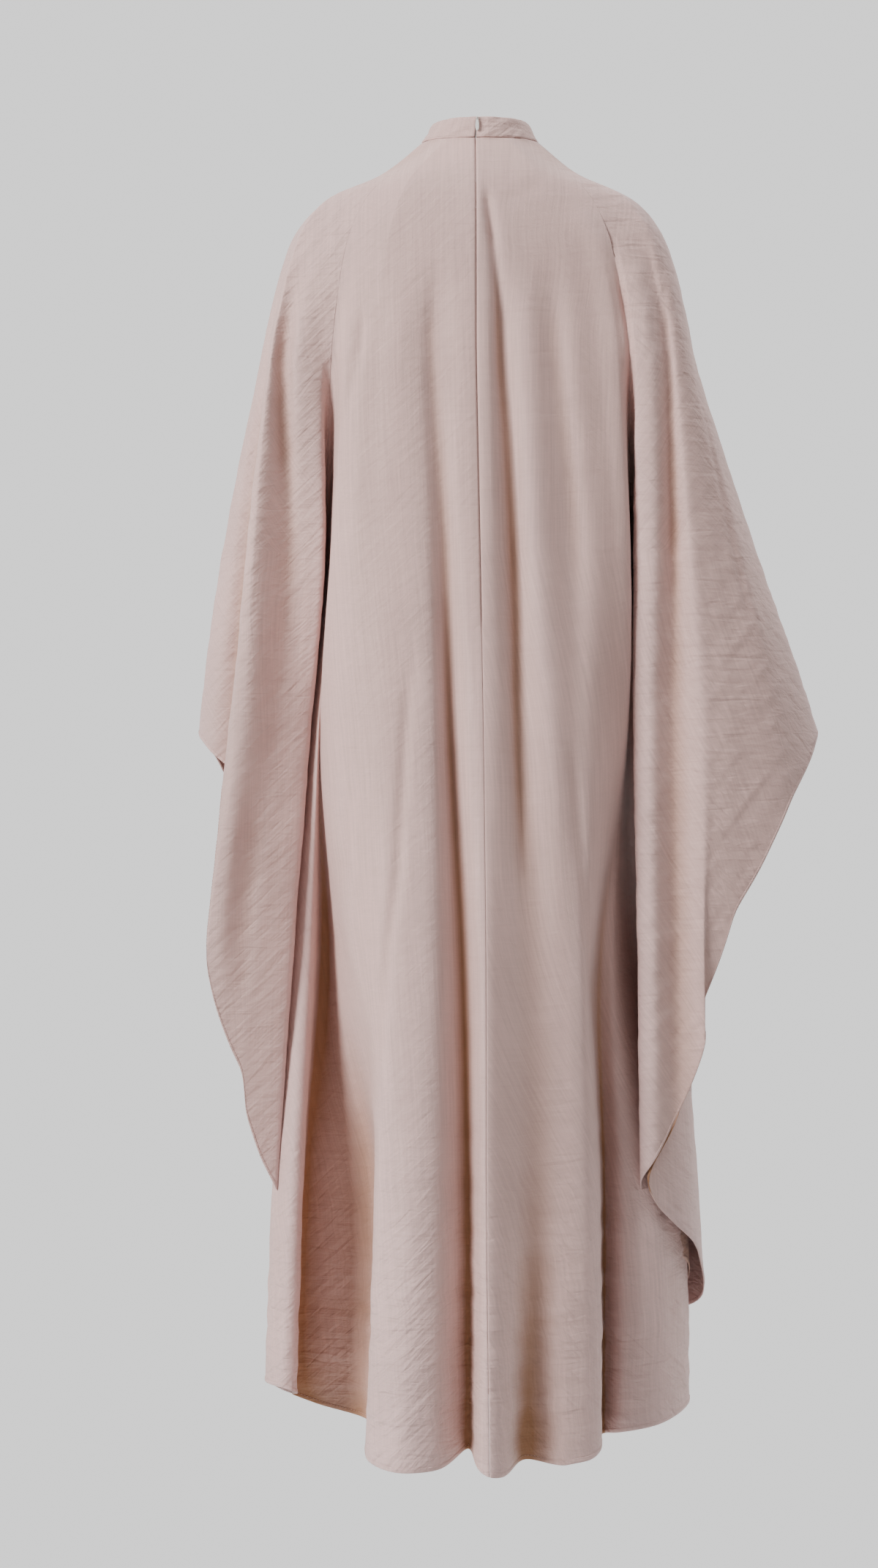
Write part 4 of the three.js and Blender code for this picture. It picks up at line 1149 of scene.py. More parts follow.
@dataclass
class ClothPanel:
    """A panel of cloth cut out of the net as a closed thin shell.

    Args:
        name: The CAD node it stands for.
        net: The welded net.
        parts: The grids it is made of, the upper one first.
        flat: Width and length of the flat panel in metres; not used.
        middle: Share of its width at which the flat panel's upright middle line lies.
        hem: Its turned hems, once built.
        area: Its area in square metres, once built.
        stitch_paths: Lines of the hems' stitching in metres, once built.
    """

    name: str
    net: ClothNet
    parts: list[PanelPart]
    flat: tuple[float, float]
    middle: float
    hem: bpy.types.Object = field(init=False)
    area: float = field(init=False)
    stitch_paths: list[np.ndarray] = field(default_factory=list)

    def build(self) -> bpy.types.Object:
        """Makes the panel's mesh and its hems, and returns the panel's object."""
        net = self.net
        grids = [net.patches[part.patch].ids[:, part.first : part.last + 1] for part in self.parts]
        points = net.points.copy()
        depth = np.zeros(len(points))
        uv = np.zeros((len(points), 2))
        for part, ids in zip(self.parts, grids):
            self._roll(points, depth, ids, part.seam_first, part.patch == "upper")
            self._roll(points, depth, ids[:, ::-1], part.seam_last, part.patch == "upper")
        for row, turn in zip(grids[0], NECK_TURN):
            depth[row] = np.maximum(depth[row], turn)
        self._lay_flat(uv, grids)
        outer = points - net.normals * depth[:, None]
        quads = np.concatenate([grid_quads(ids) for ids in grids])
        used, local = np.unique(quads, return_inverse=True)
        quads = local.reshape(quads.shape)
        face = outer[used]
        back = face - net.normals[used] * CLOTH_WALL
        corners = face[quads]
        diagonals = np.cross(corners[:, 2] - corners[:, 0], corners[:, 3] - corners[:, 1])
        self.area = float(np.linalg.norm(diagonals, axis=1).sum() / 2 * MM * MM)
        folds = net.fold_depth[used]
        # Painted shade: the inner side's fold depth is lowered by 2, so it takes more of the painted fold
        # shade.
        values = {"fold": np.concatenate([folds, folds - 2]), "crumple": np.tile(net.crumple[used], 2)}
        both = to_metres(np.concatenate([face, back]))
        faces = shell_faces(quads, len(used))
        obj = make_object(self.name + "_cloth", both, faces, np.tile(uv[used], (2, 1)), values)
        log.info("%s: %.3f square metres", self.name, self.area)
        self._turn_hems(outer, grids[1:])
        return obj

    def _turn_hems(self, face: np.ndarray, grids: Sequence[np.ndarray]) -> None:
        """Makes the narrow turned hem along the lower edge of every part, with its stitch path.

        Args:
            face: Vertices of the panel's outer side.
            grids: The parts that end in a hem.
        """
        points, faces, uv, folds = [], [], [], []
        count = 0
        for ids in grids:
            low = face[ids[: -NEAR_EDGE - 1 : -1]].transpose(1, 0, 2)
            travelled = distances(low, 1)
            edge, middle, top, stitch = (
                np.array([point_along(line, way, rise) for line, way in zip(low, travelled)])
                for rise in (0.0, HEM.width / 2, HEM.width, HEM.stitch_rise)
            )
            normal = self.net.normals[ids[-1]]
            down = edge - top
            down /= np.maximum(np.linalg.norm(down, axis=1, keepdims=True), 1e-6)
            along = distances(edge)
            uneven = wavy_noise(along, np.full_like(along, count), (HEM.pucker_length, 1), 31)
            pucker = 1 + HEM.pucker * uneven[:, None]
            rings = []
            for base, drop, out in HEM.section(edge, middle, top):
                lift = out * pucker if out > 0 else out
                rings.append(base + down * drop + normal * lift)
            ring = np.stack(rings, axis=1)
            columns, size = ring.shape[:2]
            faces += tube_faces(count + np.arange(columns * size).reshape(columns, size))
            points.append(ring.reshape(-1, 3))
            across = np.tile(np.arange(size) * 0.0011, columns)
            uv.append(np.stack([np.repeat(along * MM, size), across], axis=-1))
            folds.append(np.repeat(self.net.fold_depth[ids[-1]], size))
            count += columns * size
            self.stitch_paths.append(to_metres(stitch + normal * (HEM.swell + HEM.stitch_proud)))
        values = {"fold": np.concatenate(folds), "crumple": np.ones(count)}
        vertices = to_metres(np.concatenate(points))
        self.hem = make_object(self.name + "_hem", vertices, faces, np.concatenate(uv), values)

    def _roll(
        self, points: np.ndarray, depth: np.ndarray, ids: np.ndarray, seam: SeamRoll | None, above: bool
    ) -> None:
        """Moves the first columns to even distances from the seam and turns them in.

        Args:
            points: Vertices, changed in place.
            depth: How far each vertex lies behind the face, changed in place.
            ids: The grid, with the seam at its first column.
            seam: The seam's sizes, or None where there is no seam.
            above: True for the cloth above the underarm, where the roll doesn't fade.
        """
        if seam is None:
            return
        near = self.net.points[ids[:, :NEAR_EDGE]]
        travelled = distances(near, 1)
        fade = np.ones(len(ids)) if above or seam is ZIP_SEAM else soft_step(np.arange(len(ids)) / 6)
        closed = np.zeros(len(ids))
        if seam is ZIP_SEAM:
            closed = soft_step((ZIP_END_HEIGHT + ZIP_CLOSING[0] - near[:, 0, 2]) / ZIP_CLOSING[1])
        plain = (PLAIN_SEAM.gap, *PLAIN_SEAM.places)
        for k, place in enumerate((seam.gap, *seam.places)):
            place = place + closed * (plain[k] - place)
            place_here = np.minimum(place, travelled[:, k + 1] * 0.5 + travelled[:, k] * 0.5 + 0.2 * k)
            target = np.where(k == 0, place, np.minimum(place_here, travelled[:, 3] * (k / 3)))
            for row in range(len(ids)):
                goal = fade[row] * target[row] + (1 - fade[row]) * travelled[row, k]
                points[ids[row, k]] = point_along(near[row], travelled[row], goal)
            turn = seam.turn_in[k] + closed * (PLAIN_SEAM.turn_in[k] - seam.turn_in[k])
            depth[ids[:, k]] = np.maximum(depth[ids[:, k]], turn * fade)

    def _lay_flat(self, uv: np.ndarray, grids: Sequence[np.ndarray]) -> None:
        """Writes each vertex's place on the flat cloth, in metres.

        Args:
            uv: The places, changed here.
            grids: The panel's grids, the upper one first.
        """
        source = self.net.points * MM
        for number, ids in enumerate(grids):
            u, v = distances(source[ids], 1), distances(source[ids], 0)
            if number:
                top = uv[ids[0]].copy()
                uv[ids[1:], 0] = u[1:] + top[0, 0]
                uv[ids[1:], 1] = v[1:] + top[:, 1]
            else:
                middle = int((u.shape[1] - 1) * self.middle + 0.5)
                uv[ids, 0] = u - u[:, middle : middle + 1]
                uv[ids, 1] = v


# ---------------------------------------------------------------- collar and zip
@dataclass
class Collar:
    """Stand collar of two layers and an interlining, open at the zip.

    Args:
        wall: Its thickness.
        height: Its height at the back.
        slit: Gap between its ends.
        columns: Number of columns round the neck.
        lift: Clearance above the neck seam.
    """

    wall: float = 2.2
    height: float = 23.0
    slit: float = 1.5
    columns: int = 170
    lift: float = 0.3

    @staticmethod
    def angle(distance: np.ndarray | float) -> np.ndarray | float:
        """Returns the angle round the neck at a distance from the zip's middle line."""
        return ZIP_ANGLE + np.degrees(np.asarray(distance) / NECK_RING.half_width)

    @staticmethod
    def travelled(degrees: np.ndarray) -> np.ndarray:
        """Returns the distance round the neck from the zip's middle line at each angle."""
        return (degrees - ZIP_ANGLE) / 360 * 2 * math.pi * NECK_RING.half_width

    def soft_folds(self, travelled: np.ndarray, rise: float) -> np.ndarray:
        """Returns how far the collar's soft folds stand out at a height."""
        level = travelled * 0.2 + rise * self.height
        return 0.75 * wavy_noise(travelled + 26 * rise, level, (11, 6), 21)

    @staticmethod
    def point(degrees: np.ndarray, rise: float) -> np.ndarray:
        """Returns points of the outer side, from the neck seam (0) to the top edge (1)."""
        low, high = NECK_RING.point(degrees), COLLAR_RING.point(degrees)
        return low + (high - low) * rise

    def frame(self, degrees: np.ndarray, rise: float) -> tuple[np.ndarray, np.ndarray]:
        """The collar's outer side.

        Args:
            degrees: Angles round the neck.
            rise: Height, from the neck seam (0) to the top edge (1).

        Returns:
            The points and their outward normals.
        """
        along = self.point(degrees + 1, rise) - self.point(degrees - 1, rise)
        down = self.point(degrees, 0) - self.point(degrees, 1)
        normal = np.cross(along, down)
        return self.point(degrees, rise), normal / np.linalg.norm(normal, axis=-1, keepdims=True)

    def build(self) -> bpy.types.Object:
        """Makes the collar as a closed tube from one end to the other and returns its object."""
        near = np.array([0.0, 0.3, 0.8, 1.7])
        start, finish = self.angle(self.slit / 2), self.angle(-self.slit / 2) + 360
        tail = np.degrees(near / NECK_RING.half_width)
        middle = np.linspace(start + tail[-1], finish - tail[-1], self.columns)
        degrees = np.concatenate([start + tail[:-1], middle, finish - tail[-2::-1]])
        full = np.ones(len(degrees))
        rounded = (0.35, 0.75, 0.96, 1.0)
        full[:4], full[-4:] = rounded, rounded[::-1]
        travelled = self.travelled(degrees)
        far = 2 * math.pi * NECK_RING.half_width - travelled
        seam = np.exp(-(((np.abs(travelled) - COLLAR_STITCH_PLACE) / 0.9) ** 2)) * (np.abs(travelled) < 40)
        seam += np.exp(-(((far - COLLAR_STITCH_PLACE) / 0.9) ** 2))
        section = [(0.0, 0.35), (0.03, 0.05)]
        section += [(rise, 0.0) for rise in np.linspace(0.1, 0.92, 9)]
        section += [(0.972, 0.22), (1.0, 0.75), (1.005, 1.1), (1.0, 1.45), (0.972, 1.98)]
        section += [(rise, self.wall) for rise in (0.9, 0.7, 0.5, 0.3, 0.1)] + [(0.0, 1.9)]
        rings, uvs = [], []
        for rise, depth in section:
            point, normal = self.frame(degrees, rise)
            sunk = self.wall / 2 + (depth - self.wall / 2) * full
            folds = self.soft_folds(travelled, rise)
            level = np.full_like(travelled, rise * self.height)
            folds += 0.35 * wavy_noise(travelled - 14 * rise, level, (4.5, 5), 22)
            folds += 0.25 * wavy_noise(travelled, np.zeros_like(travelled), (19, 9), 23)
            relief = (folds - 0.5 * seam) * (1 if depth < 1 else 0.4) * full
            shifted = point + normal * (relief - sunk)[:, None]
            shifted[:, 2] += self.lift
            rings.append(shifted)
            up = np.full_like(travelled, rise * (self.height * MM) + depth * MM)
            uvs.append(np.stack([travelled * MM, up], axis=-1))
        grid = np.stack(rings[::-1], axis=1)
        uv = np.stack(uvs[::-1], axis=1)
        ids = np.arange(grid.shape[0] * grid.shape[1]).reshape(grid.shape[:2])
        values = {"fold": np.full(ids.size, 2.0), "crumple": np.full(ids.size, 0.8)}
        points = to_metres(grid.reshape(-1, 3))
        return make_object("collar_cloth", points, tube_faces(ids), uv.reshape(-1, 2), values)

    def stitch_paths(self) -> list[np.ndarray]:
        """Returns the lines of stitching: beside the slit and just above the neck seam."""
        paths = []
        lift = [0, 0, self.lift]
        proud, low_rise = 0.12, 0.085
        for side in (1, -1):
            line = []
            for rise in np.linspace(0.05, 0.95, 12):
                point, normal = self.frame(np.array([self.angle(side * COLLAR_STITCH_PLACE)]), rise)
                line.append(point[0] - normal[0] * proud + lift)
            paths.append(to_metres(np.array(line)))
        degrees = np.linspace(self.angle(self.slit), self.angle(-self.slit) + 360, 180)
        point, normal = self.frame(degrees, low_rise)
        folds = self.soft_folds(self.travelled(degrees), low_rise)
        paths.append(to_metres(point + normal * (proud + 0.5 * folds)[:, None] + lift))
        return paths


@dataclass
class ZipLine:
    """The line of the zip behind the slit, from the collar's top edge to its lower end.

    Args:
        net: The welded net of cloth.
        collar: The collar.
    """

    net: ClothNet
    collar: Collar

    def rows(self, side: int, places: Sequence[float], depth: float) -> np.ndarray:
        """Points behind the cloth.

        Args:
            side: +1 for the left side of the slit and -1 for the right side.
            places: Distances from the slit's middle line.
            depth: How far they lie behind the face.

        Returns:
            The points, rows by places.
        """
        rows = []
        for rise in np.linspace(0.93, 0.1, 9):
            degrees = self.collar.angle(side * np.array(places))
            point, normal = self.collar.frame(degrees, rise)
            rows.append(point - normal * (depth + 0.9))
        for name in ("upper", "body_back_left" if side > 0 else "body_back_right"):
            ids = self.net.patches[name].ids[1:]
            ids = ids[:, :8] if side > 0 else ids[:, ::-1][:, :8]
            for row in ids:
                line = self.net.points[row]
                if line[0, 2] < ZIP_END_HEIGHT:
                    break
                travelled = distances(line)
                point = np.stack([np.interp(places, travelled, line[:, k]) for k in range(3)], axis=-1)
                normal = self.net.normals[row[1]]
                extra = 1.0 if line[0, 2] > NECK_HEIGHT - 12 else 0.0
                rows.append(point - normal * (depth + extra))
        return np.array(rows)

    def tape(self, side: int) -> bpy.types.Object:
        """Makes one tape as a thin closed strip.

        Args:
            side: +1 for the left side of the slit and -1 for the right side.

        Returns:
            The tape.
        """
        places = (0.75, 2.0, 4.0, 6.0, 8.0, 10.0)
        face, back = (self.rows(side, places, depth)[:, ::side] for depth in (2.4, 3.0))
        count = face.shape[0] * face.shape[1]
        quads = grid_quads(np.arange(count).reshape(face.shape[:2]))
        flat = np.meshgrid(np.array(places) * MM, distances(face[:, 0]) * MM)
        uv = np.stack(flat, axis=-1).reshape(-1, 2)
        points = to_metres(np.concatenate([face.reshape(-1, 3), back.reshape(-1, 3)]))
        # Painted shade: the flat tape is given a fold depth of -4 so that it takes some of the painted fold
        # shade.
        values = {"fold": np.full(2 * count, -4.0), "crumple": np.zeros(2 * count)}
        name = "zip_tape_left_strip" if side > 0 else "zip_tape_right_strip"
        return make_object(name, points, shell_faces(quads, count), np.tile(uv, (2, 1)), values)

    def coil_path(self) -> np.ndarray:
        """Returns the line that the closed coil follows, half way between the panels."""
        return to_metres(sum(self.rows(side, (0.0, 1.0), 2.1)[:, 0] for side in (1, -1)) / 2)


@dataclass(frozen=True)
class PullTab:
    """Slim drop-shaped tab with a window for the slider's ring; its crossbar is at the origin.

    Args:
        length: Its length.
        top_width: Its width at the crossbar.
        width: Its largest width.
        wall: Its thickness.
        edge_round: Radius of its rounded edges.
        bar: Height of the crossbar.
        window: Width and height of the window.
    """

    length: float = 16.6
    top_width: float = 2.7
    width: float = 4.3
    wall: float = 1.3
    edge_round: float = 0.38
    bar: float = 1.0
    window: tuple[float, float] = (1.3, 2.3)

    def outline(self) -> list[tuple[float, float]]:
        """Returns the outline, wide at the lower end."""
        points = []
        count = 48
        for k in range(count):
            angle = 2 * math.pi * k / count
            share = 1 - (1 + math.cos(angle)) / 2
            swell = soft_step(np.array(share * 1.25)).item()
            half = self.top_width / 2 + (self.width - self.top_width) / 2 * swell
            sideways = half * math.copysign(abs(math.sin(angle)) ** 0.62, math.sin(angle))
            points.append((sideways, self.bar / 2 - self.length * share))
        return points

    def build(self) -> bpy.types.Mesh:
        """Makes the plate with rounded edges, upright, and returns its mesh."""
        curve = bpy.data.curves.new("tab_outline", "CURVE")
        curve.dimensions = "2D"
        curve.fill_mode = "BOTH"
        curve.extrude = (self.wall / 2 - self.edge_round) * MM
        curve.bevel_depth = self.edge_round * MM
        curve.bevel_resolution = 3
        curve.offset = -self.edge_round * MM
        half, height = self.window[0] / 2, self.window[1]
        top = -self.bar / 2
        window = [(-half, top), (half, top), (half, top - height), (-half, top - height)]
        for corners in (self.outline(), window):
            spline = curve.splines.new("POLY")
            spline.points.add(len(corners) - 1)
            for point, (x, y) in zip(spline.points, corners):
                point.co = (x * MM, y * MM, 0, 1)
            spline.use_cyclic_u = True
        mesh = baked(link_object("tab_outline", curve))
        mesh.transform(Matrix.Rotation(math.pi / 2, 4, "X"))
        return mesh


@dataclass(frozen=True)
class Slider:
    """Slider behind the slit, its neck through the slit and its ring in front, in millimetres."""

    ring_radius: float = 1.55
    ring_wire: float = 0.4
    body: Place = (6.6, 2.8, 9.6)
    body_centre: Place = (0.0, 8.0, -3.4)
    body_round: float = 0.9
    neck: Place = (0.9, 6.4, 2.6)
    neck_centre: Place = (0.0, 4.6, 0.0)
    neck_round: float = 0.35

    def build(self) -> bpy.types.Mesh:
        """Makes the slider's mesh, the crossbar's middle at the origin."""
        work = bmesh.new()
        for size, centre, round_by in (
            (self.body, self.body_centre, self.body_round),
            (self.neck, self.neck_centre, self.neck_round),
        ):
            corners = Matrix.Translation(Vector(centre) * MM) @ Matrix.Diagonal((*(v * MM for v in size), 1))
            block = bmesh.ops.create_cube(work, size=1.0, matrix=corners)
            edges = list(dict.fromkeys(edge for vertex in block["verts"] for edge in vertex.link_edges))
            bmesh.ops.bevel(work, geom=edges, offset=round_by * MM, segments=4, profile=0.5, affect="EDGES")
        rounds, sides = 32, 12
        grid = []
        for k in range(rounds):
            turn = 2 * math.pi * k / rounds
            ring = []
            for j in range(sides):
                tilt = 2 * math.pi * j / sides
                reach = self.ring_radius + self.ring_wire * math.cos(tilt)
                sideways = self.ring_wire * 1.15 * math.sin(tilt)
                place = (sideways, reach * math.cos(turn), reach * math.sin(turn))
                ring.append(work.verts.new([v * MM for v in place]))
            grid.append(ring)
        for a, b in zip(grid, grid[1:] + grid[:1]):
            for j in range(sides):
                work.faces.new((a[j], a[(j + 1) % sides], b[(j + 1) % sides], b[j]))
        bmesh.ops.recalc_face_normals(work, faces=work.faces)
        mesh = bpy.data.meshes.new("zip_slider_metal")
        work.to_mesh(mesh)
        work.free()
        return mesh


def crossbar_place(collar: Collar, drop: float = 2.0, stand_off: float = 2.3) -> Matrix:
    """The place of the tab's crossbar, leaning with the collar.

    Args:
        collar: The collar it hangs in front of.
        drop: Distance below the collar's top edge.
        stand_off: Distance in front of the collar.

    Returns:
        The crossbar's place and turn.
    """
    foot = collar.point(np.array(ZIP_ANGLE), 0)
    top = collar.point(np.array(ZIP_ANGLE), 1)
    lean = math.atan2(top[1] - foot[1], top[2] - foot[2])
    turn = Matrix.Rotation(-lean, 4, "X")
    place = Vector(to_metres(top).tolist()) + turn @ Vector((0, -stand_off * MM, -drop * MM))
    return Matrix.Translation(place) @ turn


# ---------------------------------------------------------------- repeated pieces
@dataclass(frozen=True)
class RepeatedPiece:
    """A small rounded piece, a stitch or a coil's turn, set along paths with Geometry Nodes.

    Args:
        name: Name of the tree.
        pitch: Distance between pieces in metres.
        size: Length, width and thickness of a piece in metres.
        axis: The piece's axis that points along the path.
        seed: Start of the random sizes.
    """

    name: str
    pitch: float
    size: tuple[float, float, float]
    axis: str = "X"
    seed: int = 5

    def tree(self) -> bpy.types.NodeTree:
        """Builds the node tree."""
        tree = bpy.data.node_groups.new(self.name, "GeometryNodeTree")
        tree.interface.new_socket("Geometry", in_out="INPUT", socket_type="NodeSocketGeometry")
        for label, value in (("Pitch", self.pitch), ("Spread", 0.12)):
            socket = tree.interface.new_socket(label, in_out="INPUT", socket_type="NodeSocketFloat")
            socket.default_value = value
        tree.interface.new_socket("Finish", in_out="INPUT", socket_type="NodeSocketMaterial")
        tree.interface.new_socket("Geometry", in_out="OUTPUT", socket_type="NodeSocketGeometry")
        t = NodeTree(tree)
        start = t.add("NodeGroupInput")
        curve = t.add("GeometryNodeMeshToCurve", {"Mesh": start.outputs["Geometry"]})
        along = {"Curve": curve.outputs[0], "Length": start.outputs["Pitch"]}
        spots = t.add("GeometryNodeCurveToPoints", along, mode="LENGTH")
        tangent = {"Vector": spots.outputs["Tangent"]}
        turn = t.add("FunctionNodeAlignRotationToVector", tangent, axis=self.axis)
        piece = t.add("GeometryNodeMeshUVSphere", {"Segments": 6, "Rings": 4, "Radius": 0.5})
        shaped = t.add("GeometryNodeTransform", {"Geometry": piece.outputs[0], "Scale": self.size})
        low = t.math("SUBTRACT", 1.0, start.outputs["Spread"])
        sizes = t.add("FunctionNodeRandomValue", data_type="FLOAT")
        tree.links.new(low, next(s for s in sizes.inputs if s.name == "Min" and s.type == "VALUE"))
        next(s for s in sizes.inputs if s.name == "Max" and s.type == "VALUE").default_value = 1.05
        sizes.inputs["Seed"].default_value = self.seed
        result = next(s for s in sizes.outputs if s.type == "VALUE")
        inputs = {"Points": spots.outputs[0], "Instance": shaped.outputs[0], "Rotation": turn.outputs[0]}
        placed = t.add("GeometryNodeInstanceOnPoints", {**inputs, "Scale": result})
        real = t.add("GeometryNodeRealizeInstances", {"Geometry": placed.outputs[0]})
        dressed = {"Geometry": real.outputs[0], "Material": start.outputs["Finish"]}
        t.add("NodeGroupOutput", {0: t.add("GeometryNodeSetMaterial", dressed).outputs[0]})
        return tree

    def build(self, name: str, paths: Sequence[np.ndarray], finish: bpy.types.Material) -> bpy.types.Object:
        """Sets the pieces along the paths as one plain mesh.

        Args:
            name: The object's name.
            paths: Points of each path in metres.
            finish: The material.

        Returns:
            The object.
        """
        wire = bpy.data.meshes.new(name + "_paths")
        edges, count = [], 0
        for path in paths:
            edges += [(count + k, count + k + 1) for k in range(len(path) - 1)]
            count += len(path)
        wire.from_pydata(np.concatenate(paths).tolist(), edges, [])
        holder = link_object(name + "_paths", wire)
        tree = self.tree()
        modifier = holder.modifiers.new(self.name, "NODES")
        modifier.node_group = tree
        for item in tree.interface.items_tree:
            if item.item_type == "SOCKET" and item.in_out == "INPUT" and item.name == "Finish":
                modifier[item.identifier] = finish
        return smooth_object(name, baked(holder))


HEM_STITCH = RepeatedPiece("hem_stitch", 0.0036, (0.0028, 0.00042, 0.00036))
COLLAR_STITCH = RepeatedPiece("collar_stitch", 0.0030, (0.0023, 0.00038, 0.00032), seed=6)
ZIP_COIL = RepeatedPiece("zip_coil", 0.0012, (0.0034, 0.0011, 0.00085), axis="Z", seed=7)


# ---------------------------------------------------------------- materials
class NodeTree:
    """Short calls for building a node tree."""

    def __init__(self, tree: bpy.types.NodeTree) -> None:
        """Takes the tree to build in."""
        self.tree = tree

    def add(self, kind: str, inputs: Inputs | None = None, **settings: object) -> bpy.types.Node:
        """Adds a node.

        Args:
            kind: Its type.
            inputs: A value or a socket for each named or numbered input.
            settings: Its properties.

        Returns:
            The node.
        """
        node = self.tree.nodes.new(kind)
        for key, value in settings.items():
            setattr(node, key, value)
        for key, value in (inputs or {}).items():
            if isinstance(value, bpy.types.NodeSocket):
                self.tree.links.new(value, node.inputs[key])
            else:
                node.inputs[key].default_value = value
        return node

    def math(self, operation: str, *values: object) -> Socket:
        """Adds a Math node and returns its output."""
        return self.add("ShaderNodeMath", dict(enumerate(values)), operation=operation).outputs[0]

    def scaled(self, vector: Socket, scale: Place) -> Socket:
        """Returns a vector stretched by a scale."""
        return self.add("ShaderNodeMapping", {"Vector": vector, "Scale": scale}).outputs[0]

    def noise(self, vector: Socket, scale: float, detail: float = 2.0, **inputs: float) -> Socket:
        """Adds a noise texture and returns its value."""
        values = {"Vector": vector, "Scale": scale, "Detail": detail, **inputs}
        return self.add("ShaderNodeTexNoise", values).outputs[0]

    def remap(self, value: Socket, low: float, high: float, to: tuple[float, float] = (0, 1)) -> Socket:
        """Returns a value stretched from one range to another."""
        inputs = {0: value, 1: low, 2: high, 3: to[0], 4: to[1]}
        return self.add("ShaderNodeMapRange", inputs, clamp=True).outputs[0]

    def mix(self, factor: object, first: object, second: object, blend: str = "MIX") -> Socket:
        """Mixes two colours and returns the result."""
        inputs = {0: factor, 6: first, 7: second}
        return self.add("ShaderNodeMix", inputs, data_type="RGBA", blend_type=blend).outputs[2]

    def blend(self, first: Socket, second: Socket, share: float) -> Socket:
        """Returns the sum of a share of the first value and the rest of the second."""
        return self.math("ADD", self.math("MULTIPLY", first, share), self.math("MULTIPLY", second, 1 - share))

    def surface(self, colour: object, shade: Socket, height: Socket, values: Inputs) -> None:
        """Ends a material with its bump, its shader and its output.

        Args:
            colour: The colour before shading.
            shade: Brightness that multiplies it.
            height: Height of the relief in metres.
            values: The shader's other inputs.
        """
        grey = self.add("ShaderNodeCombineColor", {0: shade, 1: shade, 2: shade}).outputs[0]
        bump = self.add("ShaderNodeBump", {"Height": height, "Strength": 1.0, "Distance": 1.0})
        inputs = {"Base Color": self.mix(1.0, colour, grey, "MULTIPLY"), "Normal": bump.outputs[0], **values}
        shader = self.add("ShaderNodeBsdfPrincipled", inputs)
        self.add("ShaderNodeOutputMaterial", {0: shader.outputs[0]})


def new_group(name: str, inputs: dict[str, float | None]) -> tuple[NodeTree, bpy.types.Node]:
    """Starts a shader node group.

    Args:
        name: Its name.
        inputs: Default value of each number input; None for a vector.

    Returns:
        The tree helper and the group's input node.
    """
    tree = bpy.data.node_groups.new(name, "ShaderNodeTree")
    for label, value in inputs.items():
        kind = "NodeSocketVector" if value is None else "NodeSocketFloat"
        socket = tree.interface.new_socket(label, in_out="INPUT", socket_type=kind)
        if value is not None:
            socket.default_value = value
    tree.interface.new_socket("Value", in_out="OUTPUT", socket_type="NodeSocketFloat")
    helper = NodeTree(tree)
    return helper, helper.add("NodeGroupInput")


def new_material(name: str) -> tuple[bpy.types.Material, NodeTree]:
    """Starts an empty material.

    Args:
        name: Its name.

    Returns:
        The material and its tree helper.
    """
    material = bpy.data.materials.new(name)
    material.use_nodes = True
    material.node_tree.nodes.clear()
    return material, NodeTree(material.node_tree)


class SharedEffects:
    """Node groups that several finishes use."""

    def __init__(self) -> None:
        """Builds the groups."""
        self.yarn = self._yarn()
        self.weave = self._weave()
        self.crinkle = self._crinkle()

    @staticmethod
    def _yarn() -> bpy.types.NodeTree:
        """Uneven yarns: long streaks down the cloth and shorter, weaker ones across it."""
        t, start = new_group("uneven_yarn", {"Vector": None, "Warp": 1.0, "Weft": 0.2})
        vector = start.outputs["Vector"]
        broad = t.noise(t.scaled(vector, (330, 9, 1)), 1.0, 2.0)
        fine = t.noise(t.scaled(vector, (1100, 26, 1)), 1.0, 1.0)
        weft = t.noise(t.scaled(vector, (22, 620, 1)), 1.0, 1.0)
        warp = t.math("MULTIPLY", t.math("SUBTRACT", t.blend(broad, fine, 0.62), 0.5), start.outputs["Warp"])
        cross = t.math("MULTIPLY", t.math("SUBTRACT", weft, 0.5), start.outputs["Weft"])
        t.add("NodeGroupOutput", {0: t.math("ADD", t.math("ADD", warp, cross), 0.5)})
        return t.tree

    @staticmethod
    def _weave() -> bpy.types.NodeTree:
        """Height of a plain weave."""
        t, start = new_group("plain_weave", {"Vector": None, "Pitch": 0.00055})
        parts = t.add("ShaderNodeSeparateXYZ", {0: start.outputs["Vector"]})
        turn = t.math("DIVIDE", math.pi, start.outputs["Pitch"])
        waves = [t.math("SINE", t.math("MULTIPLY", parts.outputs[k], turn)) for k in (0, 1)]
        t.add("NodeGroupOutput", {0: t.math("MULTIPLY", *waves)})
        return t.tree

    @staticmethod
    def _crinkle() -> bpy.types.NodeTree:
        """Height of small soft crinkles."""
        t, start = new_group("crinkle", {"Vector": None, "Scale": 1.0})
        inputs = {0: start.outputs["Vector"], "Scale": start.outputs["Scale"]}
        vector = t.add("ShaderNodeVectorMath", inputs, operation="SCALE").outputs[0]
        folded = t.add("ShaderNodeVectorMath", {0: vector}, operation="ABSOLUTE").outputs[0]
        level = t.noise(t.scaled(vector, (18, 26, 110)), 1.0, 3.0, Distortion=0.5)
        slanted = t.add("ShaderNodeMapping", {"Vector": folded, "Rotation": (0.0, 0.75, 0.0)})
        slant = t.noise(t.scaled(slanted.outputs[0], (22, 30, 130)), 1.0, 3.0, Distortion=0.4)
        t.add("NodeGroupOutput", {0: t.blend(level, slant, 0.5)})
        return t.tree


